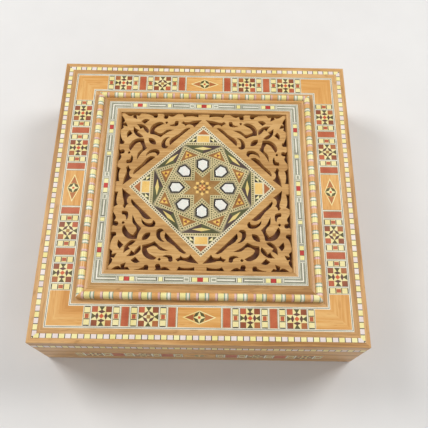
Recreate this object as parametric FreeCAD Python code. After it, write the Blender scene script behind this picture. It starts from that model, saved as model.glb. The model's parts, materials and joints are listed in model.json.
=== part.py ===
import FreeCAD, Part
import math
import os

# Square marquetry box, millimetres, +Z up. The origin is the middle of its underside, the front faces -Y.
# The lid swings on two butt hinges. Two dovetailed trim strips slide, one to show the keyhole of a hidden
# lock and one to show the key. The lid carries a raised frame round a sawn fret panel and an inlaid rosette.

# Carcase
SIDE = 250.0
BASE_HEIGHT = 40.5
LID_HEIGHT = 24.5
WALL = 14.0
SEAM_GAP = 0.3
BOTTOM_THICK = 4.0
BOTTOM_RABBET = 6.0
BOARD_THICK = 6.0
LINING_THICK = 1.2
LINING_GAP = 0.3

# Trim strips in the base's dovetail grooves
STRIP_MIDDLE = 18.75
STRIP_FACE = 20.0
STRIP_DEPTH = 5.0
STRIP_UNDERCUT = 2.0
SLIDE_CLEAR = 0.2
FRONT_TRAVEL = 34.0
RIGHT_TRAVEL = 45.0
PEG_RADIUS = 1.5
PEG_STANDS = 2.0
PEG_SUNK = 4.0
PEG_CLEAR = 0.3
FRONT_PEG_INSET = 65.0
RIGHT_PEG_INSET = 30.0

# Marquetry, let in flush
INLAY = 1.5
BEAD_INSET = 5.3
BEAD_WIDTH = 3.2
RIM_BEAD_DROP = 14.5
RIM_BEAD_HEIGHT = 5.5
BAND_INSET = 11.2
LINE_WIDTH = 1.6
TILE_HEIGHT = 14.9
TOP_LOZENGE = 33.2
TOP_RED = 7.2
TOP_DOTS = 5.85
TOP_STAR = 15.7
SIDE_BAND = 13.5
SIDE_LOZENGE = 27.5
SIDE_RED = 11.0
SIDE_DOTS = 6.25
SIDE_STAR = 15.5
CORNER_LEAST = 8.0

# Raised frame, from the tile band inwards
FRAME_MARGIN = 3.7
COLOUR_BEAD = 5.0
COLOUR_BEAD_HEIGHT = 5.0
COVE_WIDTH = 6.0
COVE_FOOT = 2.6
COVE_BOW = -0.18
LINE_BAND = 7.0
LINE_BAND_THICK = 1.2
LIP = 3.7
LIP_ROUND = 0.8
FRAME_RISE = 5.5

# Fret panel and rosette
FRET_THICK = 4.0
FRET_TUCK = 2.7
FRET_CLEAR = 0.1
FRET_DRAWN_FIELD = 70.3
DIAMOND_TIP = 59.0
DIAMOND_STRIP = 2.5
PEARL_RING = 20.8
PEARL_INNER = 5.1
PEARL_OUTER = 5.2
PEARL_HALF_WIDTH = 3.6
PEARL_SHOULDER_IN = 2.0
PEARL_SHOULDER_OUT = 3.6
STAR_TIP = 13.4
STAR_NOTCH = 9.5
KITE_RING = 30.5
KITE_INNER = 1.2
KITE_OUTER = 6.4
KITE_HALF_WIDTH = 6.6
ROSETTE_FOLD = 8

# Hinges
LID_SWING = 95.0
SWING_SPARE = 1.0
HINGE_FROM_SIDE = 55.0
HINGE_INSET = 4.0
HINGE_LENGTH = 30.0
KNUCKLES = 3
KNUCKLE_RADIUS = 2.5
KNUCKLE_GAP = 0.2
BARREL_CLEAR = 0.3
PIN_RADIUS = 1.0
PIN_CLEAR = 0.05
LEAF_WIDTH = 9.0
LEAF_THICK = 1.2
LEAF_CLEAR = 0.05
HINGE_SCREW_PITCH = 18.0

# Countersunk screws of the hinges and the lock
SCREW_HEAD = 1.6
SCREW_HEAD_DEEP = 0.9
SCREW_SHANK = 0.8
SCREW_LENGTH = 6.0
SCREW_CLEAR = 0.05
TURNED_SIDES = 8

# Lock and key
LOCK_WIDTH = 44.0
LOCK_THICK = 8.0
LOCK_PLATE = 1.2
LOCK_WEB = 3.0
LOCK_CLEAR = 0.05
SELVEDGE_WIDTH = 60.0
SELVEDGE_SCREW = 26.0
BOLT_CLEAR = 0.15
BOLT_THROW = 6.0
BOLT_BACK = -18.0
BOLT_POST = 9.0
BOLT_BAR_END = 9.0
BOLT_LIFT = 2.75
NOSE_DROP = 7.45
NOSE_HEIGHT = 2.8
NOSE_THICK = 1.8
NOSE_SPARE = 0.9
TALON = 2.2
LOOP_THICK = 2.6
LOOP_WIDTH = 3.8
LOOP_DROP = 11.0
LOOP_PLAY = 0.3
LOOP_SLOT_CLEAR = 0.6
LINK_PLATE_WIDTH = 34.0
LINK_PLATE_THICK = 1.2
LINK_PLATE_DEPTH = 8.0
LINK_SCREW = 12.0
KEY_ROOM = 5.4
KEYHOLE_RADIUS = 2.2
KEYHOLE_SLOT = 2.0
KEYHOLE_DROP = 4.6
ESCUTCHEON_REACH = 7.5
ESCUTCHEON_THICK = 0.8
DRILL_PIN = 0.8
GUIDE_PAD = 9.0
POCKET_LENGTH = 40.0
POCKET_HEIGHT = 11.0
POCKET_DEPTH = 4.5
POCKET_FROM_SPLIT = 2.5
KEY_PLAY = 0.2
KEY_SHAFT = 1.6
KEY_BORE = 1.0
KEY_BORE_DEEP = 9.0
KEY_BOW_HOLE = 3.2
KEY_BOW_THICK = 2.2
KEY_BIT_LENGTH = 5.0
KEY_BIT_DROP = 4.0
KEY_BIT_THICK = 1.6
KEY_BIT_FROM_TIP = 1.0

# Places worked out from the sizes above
V = FreeCAD.Vector
FRONT, RIGHT, BACK, LEFT = range(4)
HALF = SIDE / 2
INSIDE = HALF - WALL
BASE_TOP = BASE_HEIGHT - SEAM_GAP / 2
LID_LOW = BASE_HEIGHT + SEAM_GAP / 2
LID_TOP = BASE_HEIGHT + LID_HEIGHT
GROOVE_FLOOR = HALF - STRIP_DEPTH
SPLIT = SIDE_LOZENGE / 2
BOARD_HALF = HALF - BEAD_INSET
LINE_OUT = HALF - BAND_INSET
TILE_OUT = LINE_OUT - LINE_WIDTH
TILE_IN = TILE_OUT - TILE_HEIGHT
LINE_IN = TILE_IN - LINE_WIDTH
BEAD_FOOT = LINE_IN - FRAME_MARGIN - COLOUR_BEAD
COVE_TOP = BEAD_FOOT - COVE_WIDTH
LIP_OUT = COVE_TOP - LINE_BAND
FIELD = LIP_OUT - LIP
DRAWN = FIELD / FRET_DRAWN_FIELD
FRET_TOP = LID_TOP + FRET_THICK
HINGE_Y = HALF - HINGE_INSET
LOCK_SEAT = GROOVE_FLOOR - LOCK_WEB
LOCK_INNER = LOCK_SEAT - LOCK_THICK
LOCK_LOW = STRIP_MIDDLE - KEY_ROOM
LOCK_HIGH = BASE_TOP - LOCK_PLATE
LOCK_MIDDLE = LOCK_SEAT - LOCK_THICK / 2


def outline(points, place):
    """Closed wire. A third value on a point bows the edge that leaves it to its right, in half edges."""
    edges = []
    for (a, b, *bow), (c, d, *_) in zip(points, points[1:] + points[:1]):
        if bow:
            middle = place((a + c + bow[0] * (d - b)) / 2, (b + d - bow[0] * (c - a)) / 2)
            edges.append(Part.Arc(place(a, b), middle, place(c, d)).toShape())
        else:
            edges.append(Part.makeLine(place(a, b), place(c, d)))
    return Part.Wire(edges)


def box(x0, x1, y0, y1, z0, z1):
    """Block between two corners."""
    return Part.makeBox(x1 - x0, y1 - y0, z1 - z0, V(x0, y0, z0))


def plate(half, z0, z1):
    """Square plate on the box's middle."""
    return box(-half, half, -half, half, z0, z1)


def prism(points, z0, z1):
    """Upright prism on a plan of (x, y) points."""
    face = Part.Face(outline(points, lambda x, y: V(x, y, z0)))
    return face.extrude(V(0, 0, z1 - z0))


def bar(section, u0, u1):
    """Section of (distance from the middle, height) run along the front side from u0 to u1."""
    face = Part.Face(outline(section, lambda r, z: V(u0, -r, z)))
    return face.extrude(V(u1 - u0, 0, 0))


def mitred(section):
    """The same section run along the whole front side, with mitred ends."""
    reach = max(point[0] for point in section) + 1
    run = bar(section, -reach, reach)
    wedge = prism([(0, 0), (-reach, -reach), (reach, -reach)], run.BoundBox.ZMin - 1, run.BoundBox.ZMax + 1)
    return run.common(wedge)


def slab(inner, outer, low, high):
    """Rectangular section."""
    return [(inner, low), (outer, low), (outer, high), (inner, high)]


def turn(shape, side):
    """A copy of a front-side shape, turned to another side."""
    return shape.rotated(V(0, 0, 0), V(0, 0, 1), 90 * side)


def round_the_box(shape):
    """The same piece on all four sides."""
    return [turn(shape, side) for side in range(4)]


def along_y(radius, x, z, y0, y1):
    """Cylinder that runs front to back."""
    return Part.makeCylinder(radius, y1 - y0, V(x, y0, z), V(0, 1, 0))


def along_x(radius, y, z, x0, x1):
    """Cylinder that runs from left to right."""
    return Part.makeCylinder(radius, x1 - x0, V(x0, y, z), V(1, 0, 0))


nodes = {}


def keep(name, *shapes):
    """Keep every solid of the shapes as one named piece or group."""
    nodes[name] = [solid for shape in shapes for solid in shape.Solids]


def faceted(rings):
    """Solid through rings of equally many points, with a flat face on each side."""
    faces = [Part.Face(Part.makePolygon([*ring, ring[0]])) for ring in (rings[0], rings[-1])]
    for near, far in zip(rings, rings[1:]):
        for step in range(len(near)):
            corners = [near[step - 1], near[step], far[step], far[step - 1], near[step - 1]]
            faces.append(Part.Face(Part.makePolygon(corners)))
    solid = Part.Solid(Part.Shell(faces))
    return solid if solid.Volume > 0 else solid.reversed()


def ring_of(radius, place):
    """Points of one ring of a small turned piece, which has few sides."""
    angles = [2 * math.pi * (step + 0.5) / TURNED_SIDES for step in range(TURNED_SIDES)]
    return [place(radius * math.cos(angle), radius * math.sin(angle)) for angle in angles]


# Screws. way is -1 for one driven down into the base and 1 for one driven up into the lid.
def screw(x, y, z, way, spare=0.0):
    """Countersunk screw, or its hole where it is given spare room."""
    levels = [(SCREW_HEAD, 0), (SCREW_SHANK, SCREW_HEAD_DEEP + spare), (SCREW_SHANK, SCREW_LENGTH + spare)]
    return faceted([ring_of(radius + spare, lambda a, b: V(x + a, y + b, z + way * depth))
                    for radius, depth in levels])


def screws(places, z, way, spare=0.0):
    return [screw(x, y, z, way, spare) for x, y in places]


# Dovetail grooves and the strips that run in them
def dovetail_half_height(r):
    return STRIP_FACE / 2 + STRIP_UNDERCUT * (HALF - r) / STRIP_DEPTH


def groove(u0, u1):
    back = dovetail_half_height(GROOVE_FLOOR)
    front = dovetail_half_height(HALF)
    out = HALF + 1
    section = [(GROOVE_FLOOR, STRIP_MIDDLE - back), (HALF, STRIP_MIDDLE - front), (out, STRIP_MIDDLE - front),
               (out, STRIP_MIDDLE + front), (HALF, STRIP_MIDDLE + front), (GROOVE_FLOOR, STRIP_MIDDLE + back)]
    return bar(section, u0, u1)


def strip(u0, u1):
    rear = GROOVE_FLOOR + SLIDE_CLEAR
    back = dovetail_half_height(rear) - SLIDE_CLEAR
    front = dovetail_half_height(HALF) - SLIDE_CLEAR
    section = [(rear, STRIP_MIDDLE - back), (HALF, STRIP_MIDDLE - front),
               (HALF, STRIP_MIDDLE + front), (rear, STRIP_MIDDLE + back)]
    return bar(section, u0, u1)


def band_cells(middle, lead, group, limit):
    """Marquetry cells (kind, start, end) along a side: a middle panel, then whole groups out to the limit."""
    cells = [("lozenge", -middle / 2, middle / 2)]
    start = middle / 2

    def add(run, start):
        for kind, width in run:
            cells.extend([(kind, start, start + width), (kind, -start - width, -start)])
            start += width
        return start

    start = add(lead, start)
    length = sum(width for _, width in group)
    while start + length <= limit:
        start = add(group, start)
    return cells, start


SIDE_CELLS, SIDE_END = band_cells(
    SIDE_LOZENGE, [("dots", SIDE_DOTS)],
    [("red", SIDE_RED), ("dots", SIDE_DOTS), ("star", SIDE_STAR), ("dots", SIDE_DOTS)],
    GROOVE_FLOOR - CORNER_LEAST)
TOP_CELLS, TOP_END = band_cells(
    TOP_LOZENGE, [],
    [("red", TOP_RED), ("dots", TOP_DOTS), ("star", TOP_STAR), ("dots", TOP_DOTS)],
    TILE_IN - CORNER_LEAST)
SIDE_BED = slab(HALF - INLAY, HALF, STRIP_MIDDLE - SIDE_BAND / 2, STRIP_MIDDLE + SIDE_BAND / 2)


def trim(name, side, u0, u1, slot=None):
    """A trim strip on one side with the marquetry that it carries, and a slot in its back for a stop peg."""
    low = max(u0, -SIDE_END)
    high = min(u1, SIDE_END)
    wood = strip(u0, u1).cut(bar(SIDE_BED, low, high))
    if slot:
        wide = PEG_RADIUS + PEG_CLEAR
        deep = GROOVE_FLOOR + PEG_STANDS + PEG_CLEAR
        wood = wood.cut(bar(slab(GROOVE_FLOOR, deep, STRIP_MIDDLE - wide, STRIP_MIDDLE + wide), *slot))
    tiles = []
    for _, start, end in SIDE_CELLS:
        start = max(start, low)
        end = min(end, high)
        if end > start:
            tiles.append(turn(bar(SIDE_BED, start, end), side))
    keep(name + "_strip", turn(wood, side))
    keep(name + "_mosaic", *tiles)


slot_half = PEG_RADIUS + PEG_CLEAR
front_peg = FRONT_PEG_INSET - HALF
right_peg = HALF - RIGHT_PEG_INSET
trim("front_slide", FRONT, -HALF, SPLIT, (front_peg - slot_half, front_peg + FRONT_TRAVEL + slot_half))
trim("front_fixed", FRONT, SPLIT + SLIDE_CLEAR, HALF)
trim("right_slide", RIGHT, SPLIT, HALF, (right_peg - RIGHT_TRAVEL - slot_half, right_peg + slot_half))
trim("right_fixed", RIGHT, SLIDE_CLEAR - GROOVE_FLOOR, SPLIT - SLIDE_CLEAR)
trim("left", LEFT, -HALF, GROOVE_FLOOR - SLIDE_CLEAR)
trim("back", BACK, SLIDE_CLEAR - GROOVE_FLOOR, GROOVE_FLOOR - SLIDE_CLEAR)


def stop_peg(u, spare):
    ends = (-GROOVE_FLOOR - PEG_STANDS, -GROOVE_FLOOR + PEG_SUNK)
    return faceted([ring_of(PEG_RADIUS + spare, lambda a, b: V(u + a, y, STRIP_MIDDLE + b)) for y in ends])


keep("slide_stop_pegs", stop_peg(front_peg, 0), turn(stop_peg(right_peg, 0), RIGHT))

# Hinges. The back of the seam opens as a V from the pin outwards, so the lid tips back until the slopes meet.
HINGE_MIDDLES = [HINGE_FROM_SIDE - HALF, HALF - HINGE_FROM_SIDE]


def seam_slope(way):
    reach = HINGE_INSET + 1
    rise = way * reach * math.tan(math.radians((LID_SWING + SWING_SPARE) / 2))
    points = [(HINGE_Y, BASE_HEIGHT), (HINGE_Y + reach, BASE_HEIGHT), (HINGE_Y + reach, BASE_HEIGHT + rise)]
    return Part.Face(outline(points, lambda y, z: V(-HALF - 1, y, z))).extrude(V(SIDE + 2, 0, 0))


def leaf_block(middle, way, spare):
    face = BASE_HEIGHT + way * SEAM_GAP / 2
    deep = face + way * LEAF_THICK
    return box(middle - HINGE_LENGTH / 2 - spare, middle + HINGE_LENGTH / 2 + spare,
               HINGE_Y - LEAF_WIDTH - spare, HINGE_Y - PIN_RADIUS - KNUCKLE_RADIUS / 4,
               min(face, deep), max(face, deep))


def barrel(radius, x0, x1):
    return along_x(radius, HINGE_Y, BASE_HEIGHT, x0, x1)


def pin(x0, x1, spare=0.0):
    """Hinge pin, or its hole where it is given spare room. The hole's flats clear the pin's corners."""
    radius = (PIN_RADIUS + spare) / (math.cos(math.pi / TURNED_SIDES) if spare else 1)
    return faceted([ring_of(radius, lambda a, b: V(x, HINGE_Y + a, BASE_HEIGHT + b)) for x in (x0, x1)])


def hinge_screw_places(middle):
    y = HINGE_Y - (LEAF_WIDTH + KNUCKLE_RADIUS) / 2
    return [(middle - HINGE_SCREW_PITCH / 2, y), (middle + HINGE_SCREW_PITCH / 2, y)]


def hinge_leaf(middle, way):
    """A leaf with its knuckles. The base's leaf has the odd knuckles and the lid's the even ones."""
    length = HINGE_LENGTH / KNUCKLES
    leaf = leaf_block(middle, way, 0)
    own = []
    for index in range(KNUCKLES):
        start = middle - HINGE_LENGTH / 2 + index * length
        if (index % 2 == 0) == (way < 0):
            own.append(barrel(KNUCKLE_RADIUS, start + KNUCKLE_GAP / 2, start + length - KNUCKLE_GAP / 2))
        else:
            leaf = leaf.cut(barrel(KNUCKLE_RADIUS + BARREL_CLEAR, start, start + length))
    pin_hole = pin(middle - HINGE_LENGTH, middle + HINGE_LENGTH, PIN_CLEAR)
    holes = screws(hinge_screw_places(middle), BASE_HEIGHT + way * SEAM_GAP / 2, way, SCREW_CLEAR)
    return leaf.fuse(own).cut([pin_hole, *holes])


def hinge_beds(way):
    """What the hinges need cut out of the back of the base or the lid."""
    beds = [seam_slope(way)]
    for middle in HINGE_MIDDLES:
        reach = HINGE_LENGTH / 2 + BARREL_CLEAR
        beds.append(leaf_block(middle, way, LEAF_CLEAR))
        beds.append(barrel(KNUCKLE_RADIUS + BARREL_CLEAR, middle - reach, middle + reach))
        beds.extend(screws(hinge_screw_places(middle), BASE_HEIGHT + way * SEAM_GAP / 2, way, SCREW_CLEAR))
    return beds


for word, middle in zip(("left", "right"), HINGE_MIDDLES):
    keep(f"hinge_{word}_base_leaf", hinge_leaf(middle, -1))
    keep(f"hinge_{word}_lid_leaf", hinge_leaf(middle, 1))
keep("hinge_pins", *[pin(m - HINGE_LENGTH / 2, m + HINGE_LENGTH / 2) for m in HINGE_MIDDLES])

# Lock, let into the inside of the front wall. Its selvedge lies flush with the top of the wall.
SELVEDGE_PLACES = [(-SELVEDGE_SCREW, -LOCK_MIDDLE), (SELVEDGE_SCREW, -LOCK_MIDDLE)]
LINK_FRONT = LOCK_MIDDLE + LINK_PLATE_DEPTH - LOOP_WIDTH / 2
LINK_REAR = LOCK_MIDDLE - LOOP_WIDTH / 2
LINK_PLACES = [(-LINK_SCREW, -(LINK_FRONT + LINK_REAR) / 2), (LINK_SCREW, -(LINK_FRONT + LINK_REAR) / 2)]


def keyhole(r_out, r_in):
    """The keyhole as a tool, between two distances from the box's middle."""
    slot = box(-KEYHOLE_SLOT / 2, KEYHOLE_SLOT / 2, -r_out, -r_in, STRIP_MIDDLE - KEYHOLE_DROP, STRIP_MIDDLE)
    return along_y(KEYHOLE_RADIUS, 0, STRIP_MIDDLE, -r_out, -r_in).fuse(slot)


def lock_case():
    wide = LOCK_WIDTH / 2
    cap = LOCK_INNER + LOCK_PLATE
    shell = box(-wide, wide, -LOCK_SEAT, -cap, LOCK_LOW, LOCK_HIGH)
    hollow = box(LOCK_PLATE - wide, wide - LOCK_PLATE, LOCK_PLATE - LOCK_SEAT, -cap,
                 LOCK_LOW + LOCK_PLATE, LOCK_HIGH)
    pad_top = STRIP_MIDDLE + BOLT_LIFT - BOLT_CLEAR
    pads = [box(start, start + GUIDE_PAD, -LOCK_SEAT, -cap, LOCK_LOW, pad_top)
            for start in (-wide, wide - GUIDE_PAD)]
    selvedge = box(-SELVEDGE_WIDTH / 2, SELVEDGE_WIDTH / 2, -LOCK_SEAT, -LOCK_INNER, LOCK_HIGH, BASE_TOP)
    slot_wide = LOOP_THICK / 2 + LOOP_SLOT_CLEAR
    slot_deep = LOOP_WIDTH / 2 + LOOP_SLOT_CLEAR
    slot = box(-slot_wide, slot_wide, -LOCK_MIDDLE - slot_deep, -LOCK_MIDDLE + slot_deep, LOCK_HIGH, BASE_TOP)
    holes = screws(SELVEDGE_PLACES, BASE_TOP, -1, SCREW_CLEAR)
    body = shell.cut(hollow).fuse([*pads, selvedge])
    return body.cut([slot, keyhole(LOCK_SEAT, LOCK_SEAT - LOCK_PLATE), *holes])


def lock_cap():
    wide = LOCK_WIDTH / 2
    cover = box(-wide, wide, -LOCK_INNER - LOCK_PLATE, -LOCK_INNER, LOCK_LOW, LOCK_HIGH)
    return cover.fuse(along_y(DRILL_PIN, 0, STRIP_MIDDLE, -LOCK_SEAT + LOCK_PLATE, -LOCK_INNER))


def lock_bolt():
    """Hook bolt: a bar over the key, a post behind the loop, and a nose that enters it."""
    low = STRIP_MIDDLE + BOLT_LIFT
    bar_top = LID_LOW - LOOP_DROP - BOLT_CLEAR - LOOP_PLAY
    top = LOCK_HIGH - BOLT_CLEAR
    rear = -LOCK_SEAT + LOCK_PLATE + BOLT_CLEAR
    thick = LOCK_THICK - 2 * LOCK_PLATE - 2 * BOLT_CLEAR
    post_end = BOLT_BACK + BOLT_POST
    points = [(BOLT_BACK, low), (BOLT_BAR_END, low), (BOLT_BAR_END, bar_top), (post_end, bar_top),
              (post_end, top), (BOLT_BACK, top)]
    body = Part.Face(outline(points, lambda x, z: V(x, rear, z))).extrude(V(0, thick, 0))
    nose_middle = BASE_TOP - NOSE_DROP
    nose = box(post_end, -LOOP_THICK / 2 - NOSE_SPARE,
               -LOCK_MIDDLE - NOSE_THICK / 2, -LOCK_MIDDLE + NOSE_THICK / 2,
               nose_middle - NOSE_HEIGHT / 2, nose_middle + NOSE_HEIGHT / 2)
    talon = along_y(TALON, -BOLT_THROW / 2, low, rear, rear + thick)
    return body.cut(talon).fuse(nose)


def link_plate():
    """Plate under the lid's front rail, with a loop that hangs into the lock."""
    sheet = box(-LINK_PLATE_WIDTH / 2, LINK_PLATE_WIDTH / 2, -LINK_FRONT, -LINK_REAR,
                LID_LOW, LID_LOW + LINK_PLATE_THICK)
    loop = box(-LOOP_THICK / 2, LOOP_THICK / 2, -LOCK_MIDDLE - LOOP_WIDTH / 2, -LOCK_MIDDLE + LOOP_WIDTH / 2,
               LID_LOW - LOOP_DROP, LID_LOW)
    nose_middle = BASE_TOP - NOSE_DROP
    eye_deep = NOSE_THICK / 2 + LOOP_PLAY
    eye_high = NOSE_HEIGHT / 2 + LOOP_PLAY
    eye = box(-LOOP_THICK / 2, LOOP_THICK / 2, -LOCK_MIDDLE - eye_deep, -LOCK_MIDDLE + eye_deep,
              nose_middle - eye_high, nose_middle + eye_high)
    return sheet.fuse(loop.cut(eye)).cut(screws(LINK_PLACES, LID_LOW, 1, SCREW_CLEAR))


def escutcheon(spare):
    """Lozenge-shaped plate round the keyhole."""
    reach = ESCUTCHEON_REACH + spare
    points = [(reach, 0), (0, reach), (-reach, 0), (0, -reach)]
    face = Part.Face(outline(points, lambda x, z: V(x, -GROOVE_FLOOR, STRIP_MIDDLE + z)))
    return face.extrude(V(0, ESCUTCHEON_THICK, 0))


keep("lock_case", lock_case())
keep("lock_cap", lock_cap())
keep("lock_bolt", lock_bolt())
keep("lock_link_plate", link_plate())
keep("keyhole_escutcheon", escutcheon(0).cut(keyhole(GROOVE_FLOOR, GROOVE_FLOOR - ESCUTCHEON_THICK)))

# Key in its pocket behind the right-hand slide
POCKET_START = SPLIT + POCKET_FROM_SPLIT


def key_pocket():
    return box(POCKET_START, POCKET_START + POCKET_LENGTH, -GROOVE_FLOOR, -GROOVE_FLOOR + POCKET_DEPTH,
               STRIP_MIDDLE - POCKET_HEIGHT / 2, STRIP_MIDDLE + POCKET_HEIGHT / 2)


def key():
    bow_radius = POCKET_HEIGHT / 2 - KEY_PLAY
    middle = -GROOVE_FLOOR + POCKET_DEPTH - KEY_PLAY - KEY_SHAFT
    bow_u = POCKET_START + KEY_PLAY + bow_radius
    tip = POCKET_START + POCKET_LENGTH - KEY_PLAY
    bow_y = (middle - KEY_BOW_THICK / 2, middle + KEY_BOW_THICK / 2)

    def lengthwise(radius, *ends):
        return faceted([ring_of(radius, lambda a, b: V(u, middle + a, STRIP_MIDDLE + b)) for u in ends])

    def across(radius):
        return faceted([ring_of(radius, lambda a, b: V(bow_u + a, y, STRIP_MIDDLE + b)) for y in bow_y])

    shaft = lengthwise(KEY_SHAFT, bow_u + KEY_BOW_HOLE, tip)
    bit_end = tip - KEY_BIT_FROM_TIP
    bit = box(bit_end - KEY_BIT_LENGTH, bit_end, middle - KEY_BIT_THICK / 2, middle + KEY_BIT_THICK / 2,
              STRIP_MIDDLE - KEY_BIT_DROP, STRIP_MIDDLE)
    solid = shaft.fuse([across(bow_radius), bit])
    return solid.cut([across(KEY_BOW_HOLE), lengthwise(KEY_BORE, tip - KEY_BORE_DEEP, tip)])


keep("key", turn(key(), RIGHT))

# Base carcase
WALL_SECTION = [(HALF, 0), (HALF, BASE_TOP), (INSIDE, BASE_TOP), (INSIDE, BOTTOM_THICK),
                (INSIDE + BOTTOM_RABBET, BOTTOM_THICK), (INSIDE + BOTTOM_RABBET, 0)]
wall = mitred(WALL_SECTION)
front_groove = groove(-HALF - 1, HALF + 1)
right_groove = turn(groove(-GROOVE_FLOOR, HALF + 1), RIGHT)
left_groove = turn(groove(-HALF - 1, GROOVE_FLOOR), LEFT)
back_groove = turn(groove(-GROOVE_FLOOR, GROOVE_FLOOR), BACK)


def lock_beds():
    wide = LOCK_WIDTH / 2 + LOCK_CLEAR
    mortise = box(-wide, wide, -LOCK_SEAT - LOCK_CLEAR, -INSIDE + 1, LOCK_LOW - LOCK_CLEAR, BASE_TOP + 1)
    rebate = box(-SELVEDGE_WIDTH / 2 - LOCK_CLEAR, SELVEDGE_WIDTH / 2 + LOCK_CLEAR,
                 -LOCK_SEAT - LOCK_CLEAR, -INSIDE + 1, LOCK_HIGH, BASE_TOP + 1)
    return [mortise, rebate, keyhole(GROOVE_FLOOR, LOCK_SEAT), escutcheon(LOCK_CLEAR),
            *screws(SELVEDGE_PLACES, BASE_TOP, -1, SCREW_CLEAR)]


keep("front_wall", wall.cut([front_groove, stop_peg(front_peg, PIN_CLEAR), *lock_beds()]))
right_beds = [turn(key_pocket(), RIGHT), turn(stop_peg(right_peg, PIN_CLEAR), RIGHT)]
keep("right_wall", turn(wall, RIGHT).cut([right_groove, front_groove, seam_slope(-1), *right_beds]))
keep("left_wall", turn(wall, LEFT).cut([left_groove, front_groove, seam_slope(-1)]))
keep("back_wall", turn(wall, BACK).cut([back_groove, left_groove, right_groove, *hinge_beds(-1)]))
keep("bottom_panel", plate(INSIDE + BOTTOM_RABBET - LOCK_CLEAR, 0, BOTTOM_THICK))
keep("base_lining", plate(INSIDE - LINING_GAP, BOTTOM_THICK, BOTTOM_THICK + LINING_THICK))
HINGE_PLACES = [place for middle in HINGE_MIDDLES for place in hinge_screw_places(middle)]
keep("base_hardware_screws", *screws(SELVEDGE_PLACES + HINGE_PLACES, BASE_TOP, -1))

# Lid carcase. The bead row on top covers the joint between the rails and the board.
BOARD_LOW = LID_TOP - BOARD_THICK
RAIL_SECTION = [(HALF, LID_LOW), (HALF, LID_TOP), (BOARD_HALF, LID_TOP), (BOARD_HALF, BOARD_LOW),
                (INSIDE, BOARD_LOW), (INSIDE, LID_LOW)]
RIM_MIDDLE = LID_TOP - RIM_BEAD_DROP
RIM_SECTION = slab(HALF - INLAY, HALF, RIM_MIDDLE - RIM_BEAD_HEIGHT / 2, RIM_MIDDLE + RIM_BEAD_HEIGHT / 2)
BEAD_SECTION = slab(BOARD_HALF - BEAD_WIDTH / 2, BOARD_HALF + BEAD_WIDTH / 2, LID_TOP - INLAY, LID_TOP)
rim_bead = mitred(RIM_SECTION)
top_bead = mitred(BEAD_SECTION)
rail = mitred(RAIL_SECTION).cut([rim_bead, top_bead])
link_bed = box(-LINK_PLATE_WIDTH / 2 - LOCK_CLEAR, LINK_PLATE_WIDTH / 2 + LOCK_CLEAR,
               -LINK_FRONT - LOCK_CLEAR, -LINK_REAR + LOCK_CLEAR, LID_LOW - 1, LID_LOW + LINK_PLATE_THICK)
keep("lid_front_rail", rail.cut([link_bed, *screws(LINK_PLACES, LID_LOW, 1, SCREW_CLEAR)]))
keep("lid_right_rail", turn(rail, RIGHT).cut(seam_slope(1)))
keep("lid_left_rail", turn(rail, LEFT).cut(seam_slope(1)))
keep("lid_back_rail", turn(rail, BACK).cut(hinge_beds(1)))
keep("lid_rim_beads", *round_the_box(rim_bead))
keep("lid_bead_border", *round_the_box(top_bead))
bed = [prism([(-h, -h), (h, -h), (h, h), (-h, h)], LID_TOP - INLAY, LID_TOP + 1) for h in (LINE_OUT, LINE_IN)]
keep("lid_board", plate(BOARD_HALF, BOARD_LOW, LID_TOP).cut([bed[0].cut(bed[1]), *round_the_box(top_bead)]))
keep("lid_lining", plate(INSIDE - LINING_GAP, BOARD_LOW - LINING_THICK, BOARD_LOW))
keep("lid_hardware_screws", *screws(LINK_PLACES + HINGE_PLACES, LID_LOW, 1))

# Tile band on the lid
lines = [mitred(slab(inner, inner + LINE_WIDTH, LID_TOP - INLAY, LID_TOP)) for inner in (TILE_OUT, LINE_IN)]
keep("lid_stringing", *[piece for line in lines for piece in round_the_box(line)])
TILE_SECTION = slab(TILE_IN, TILE_OUT, LID_TOP - INLAY, LID_TOP)
TILE_NODES = {"star": "lid_star_tiles", "red": "lid_red_tiles", "dots": "lid_dot_tiles",
              "lozenge": "lid_lozenge_panels"}
for kind, name in TILE_NODES.items():
    tiles = [bar(TILE_SECTION, start, end) for cell, start, end in TOP_CELLS if cell == kind]
    keep(name, *[piece for tile in tiles for piece in round_the_box(tile)])
corners = []
for way in (-1, 1):
    plan = [(way * TOP_END, -TILE_IN), (way * TILE_IN, -TILE_IN), (way * TILE_OUT, -TILE_OUT),
            (way * TOP_END, -TILE_OUT)]
    corners += round_the_box(prism(plan, LID_TOP - INLAY, LID_TOP))
keep("lid_band_corners", *corners)

# Raised frame: a coved moulding with a rebate over the fret panel, a line inlay on top and a bead at its foot
FRAME_TOP = LID_TOP + FRAME_RISE
BED_Z = FRAME_TOP - LINE_BAND_THICK
TUCK = FIELD + FRET_TUCK
FRAME_SECTION = [(BEAD_FOOT, LID_TOP), (BEAD_FOOT, LID_TOP + COVE_FOOT, COVE_BOW), (COVE_TOP, FRAME_TOP),
                 (COVE_TOP, BED_Z), (LIP_OUT, BED_Z), (LIP_OUT, FRAME_TOP),
                 (FIELD + LIP_ROUND, FRAME_TOP, 0.414), (FIELD, FRAME_TOP - LIP_ROUND),
                 (FIELD, FRET_TOP + FRET_CLEAR), (TUCK, FRET_TOP + FRET_CLEAR), (TUCK, LID_TOP)]
frame = mitred(FRAME_SECTION)
for side, word in enumerate(("front", "right", "back", "left")):
    keep("frame_" + word, turn(frame, side))
ROUND_LOW = LID_TOP + COLOUR_BEAD_HEIGHT - COLOUR_BEAD / 2
COLOUR_SECTION = [(BEAD_FOOT, LID_TOP), (BEAD_FOOT + COLOUR_BEAD, LID_TOP),
                  (BEAD_FOOT + COLOUR_BEAD, ROUND_LOW, 1.0), (BEAD_FOOT, ROUND_LOW)]
keep("frame_colour_bead", *round_the_box(mitred(COLOUR_SECTION)))
keep("frame_line_inlay", *round_the_box(mitred(slab(LIP_OUT, COVE_TOP, BED_Z, FRAME_TOP))))

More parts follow.
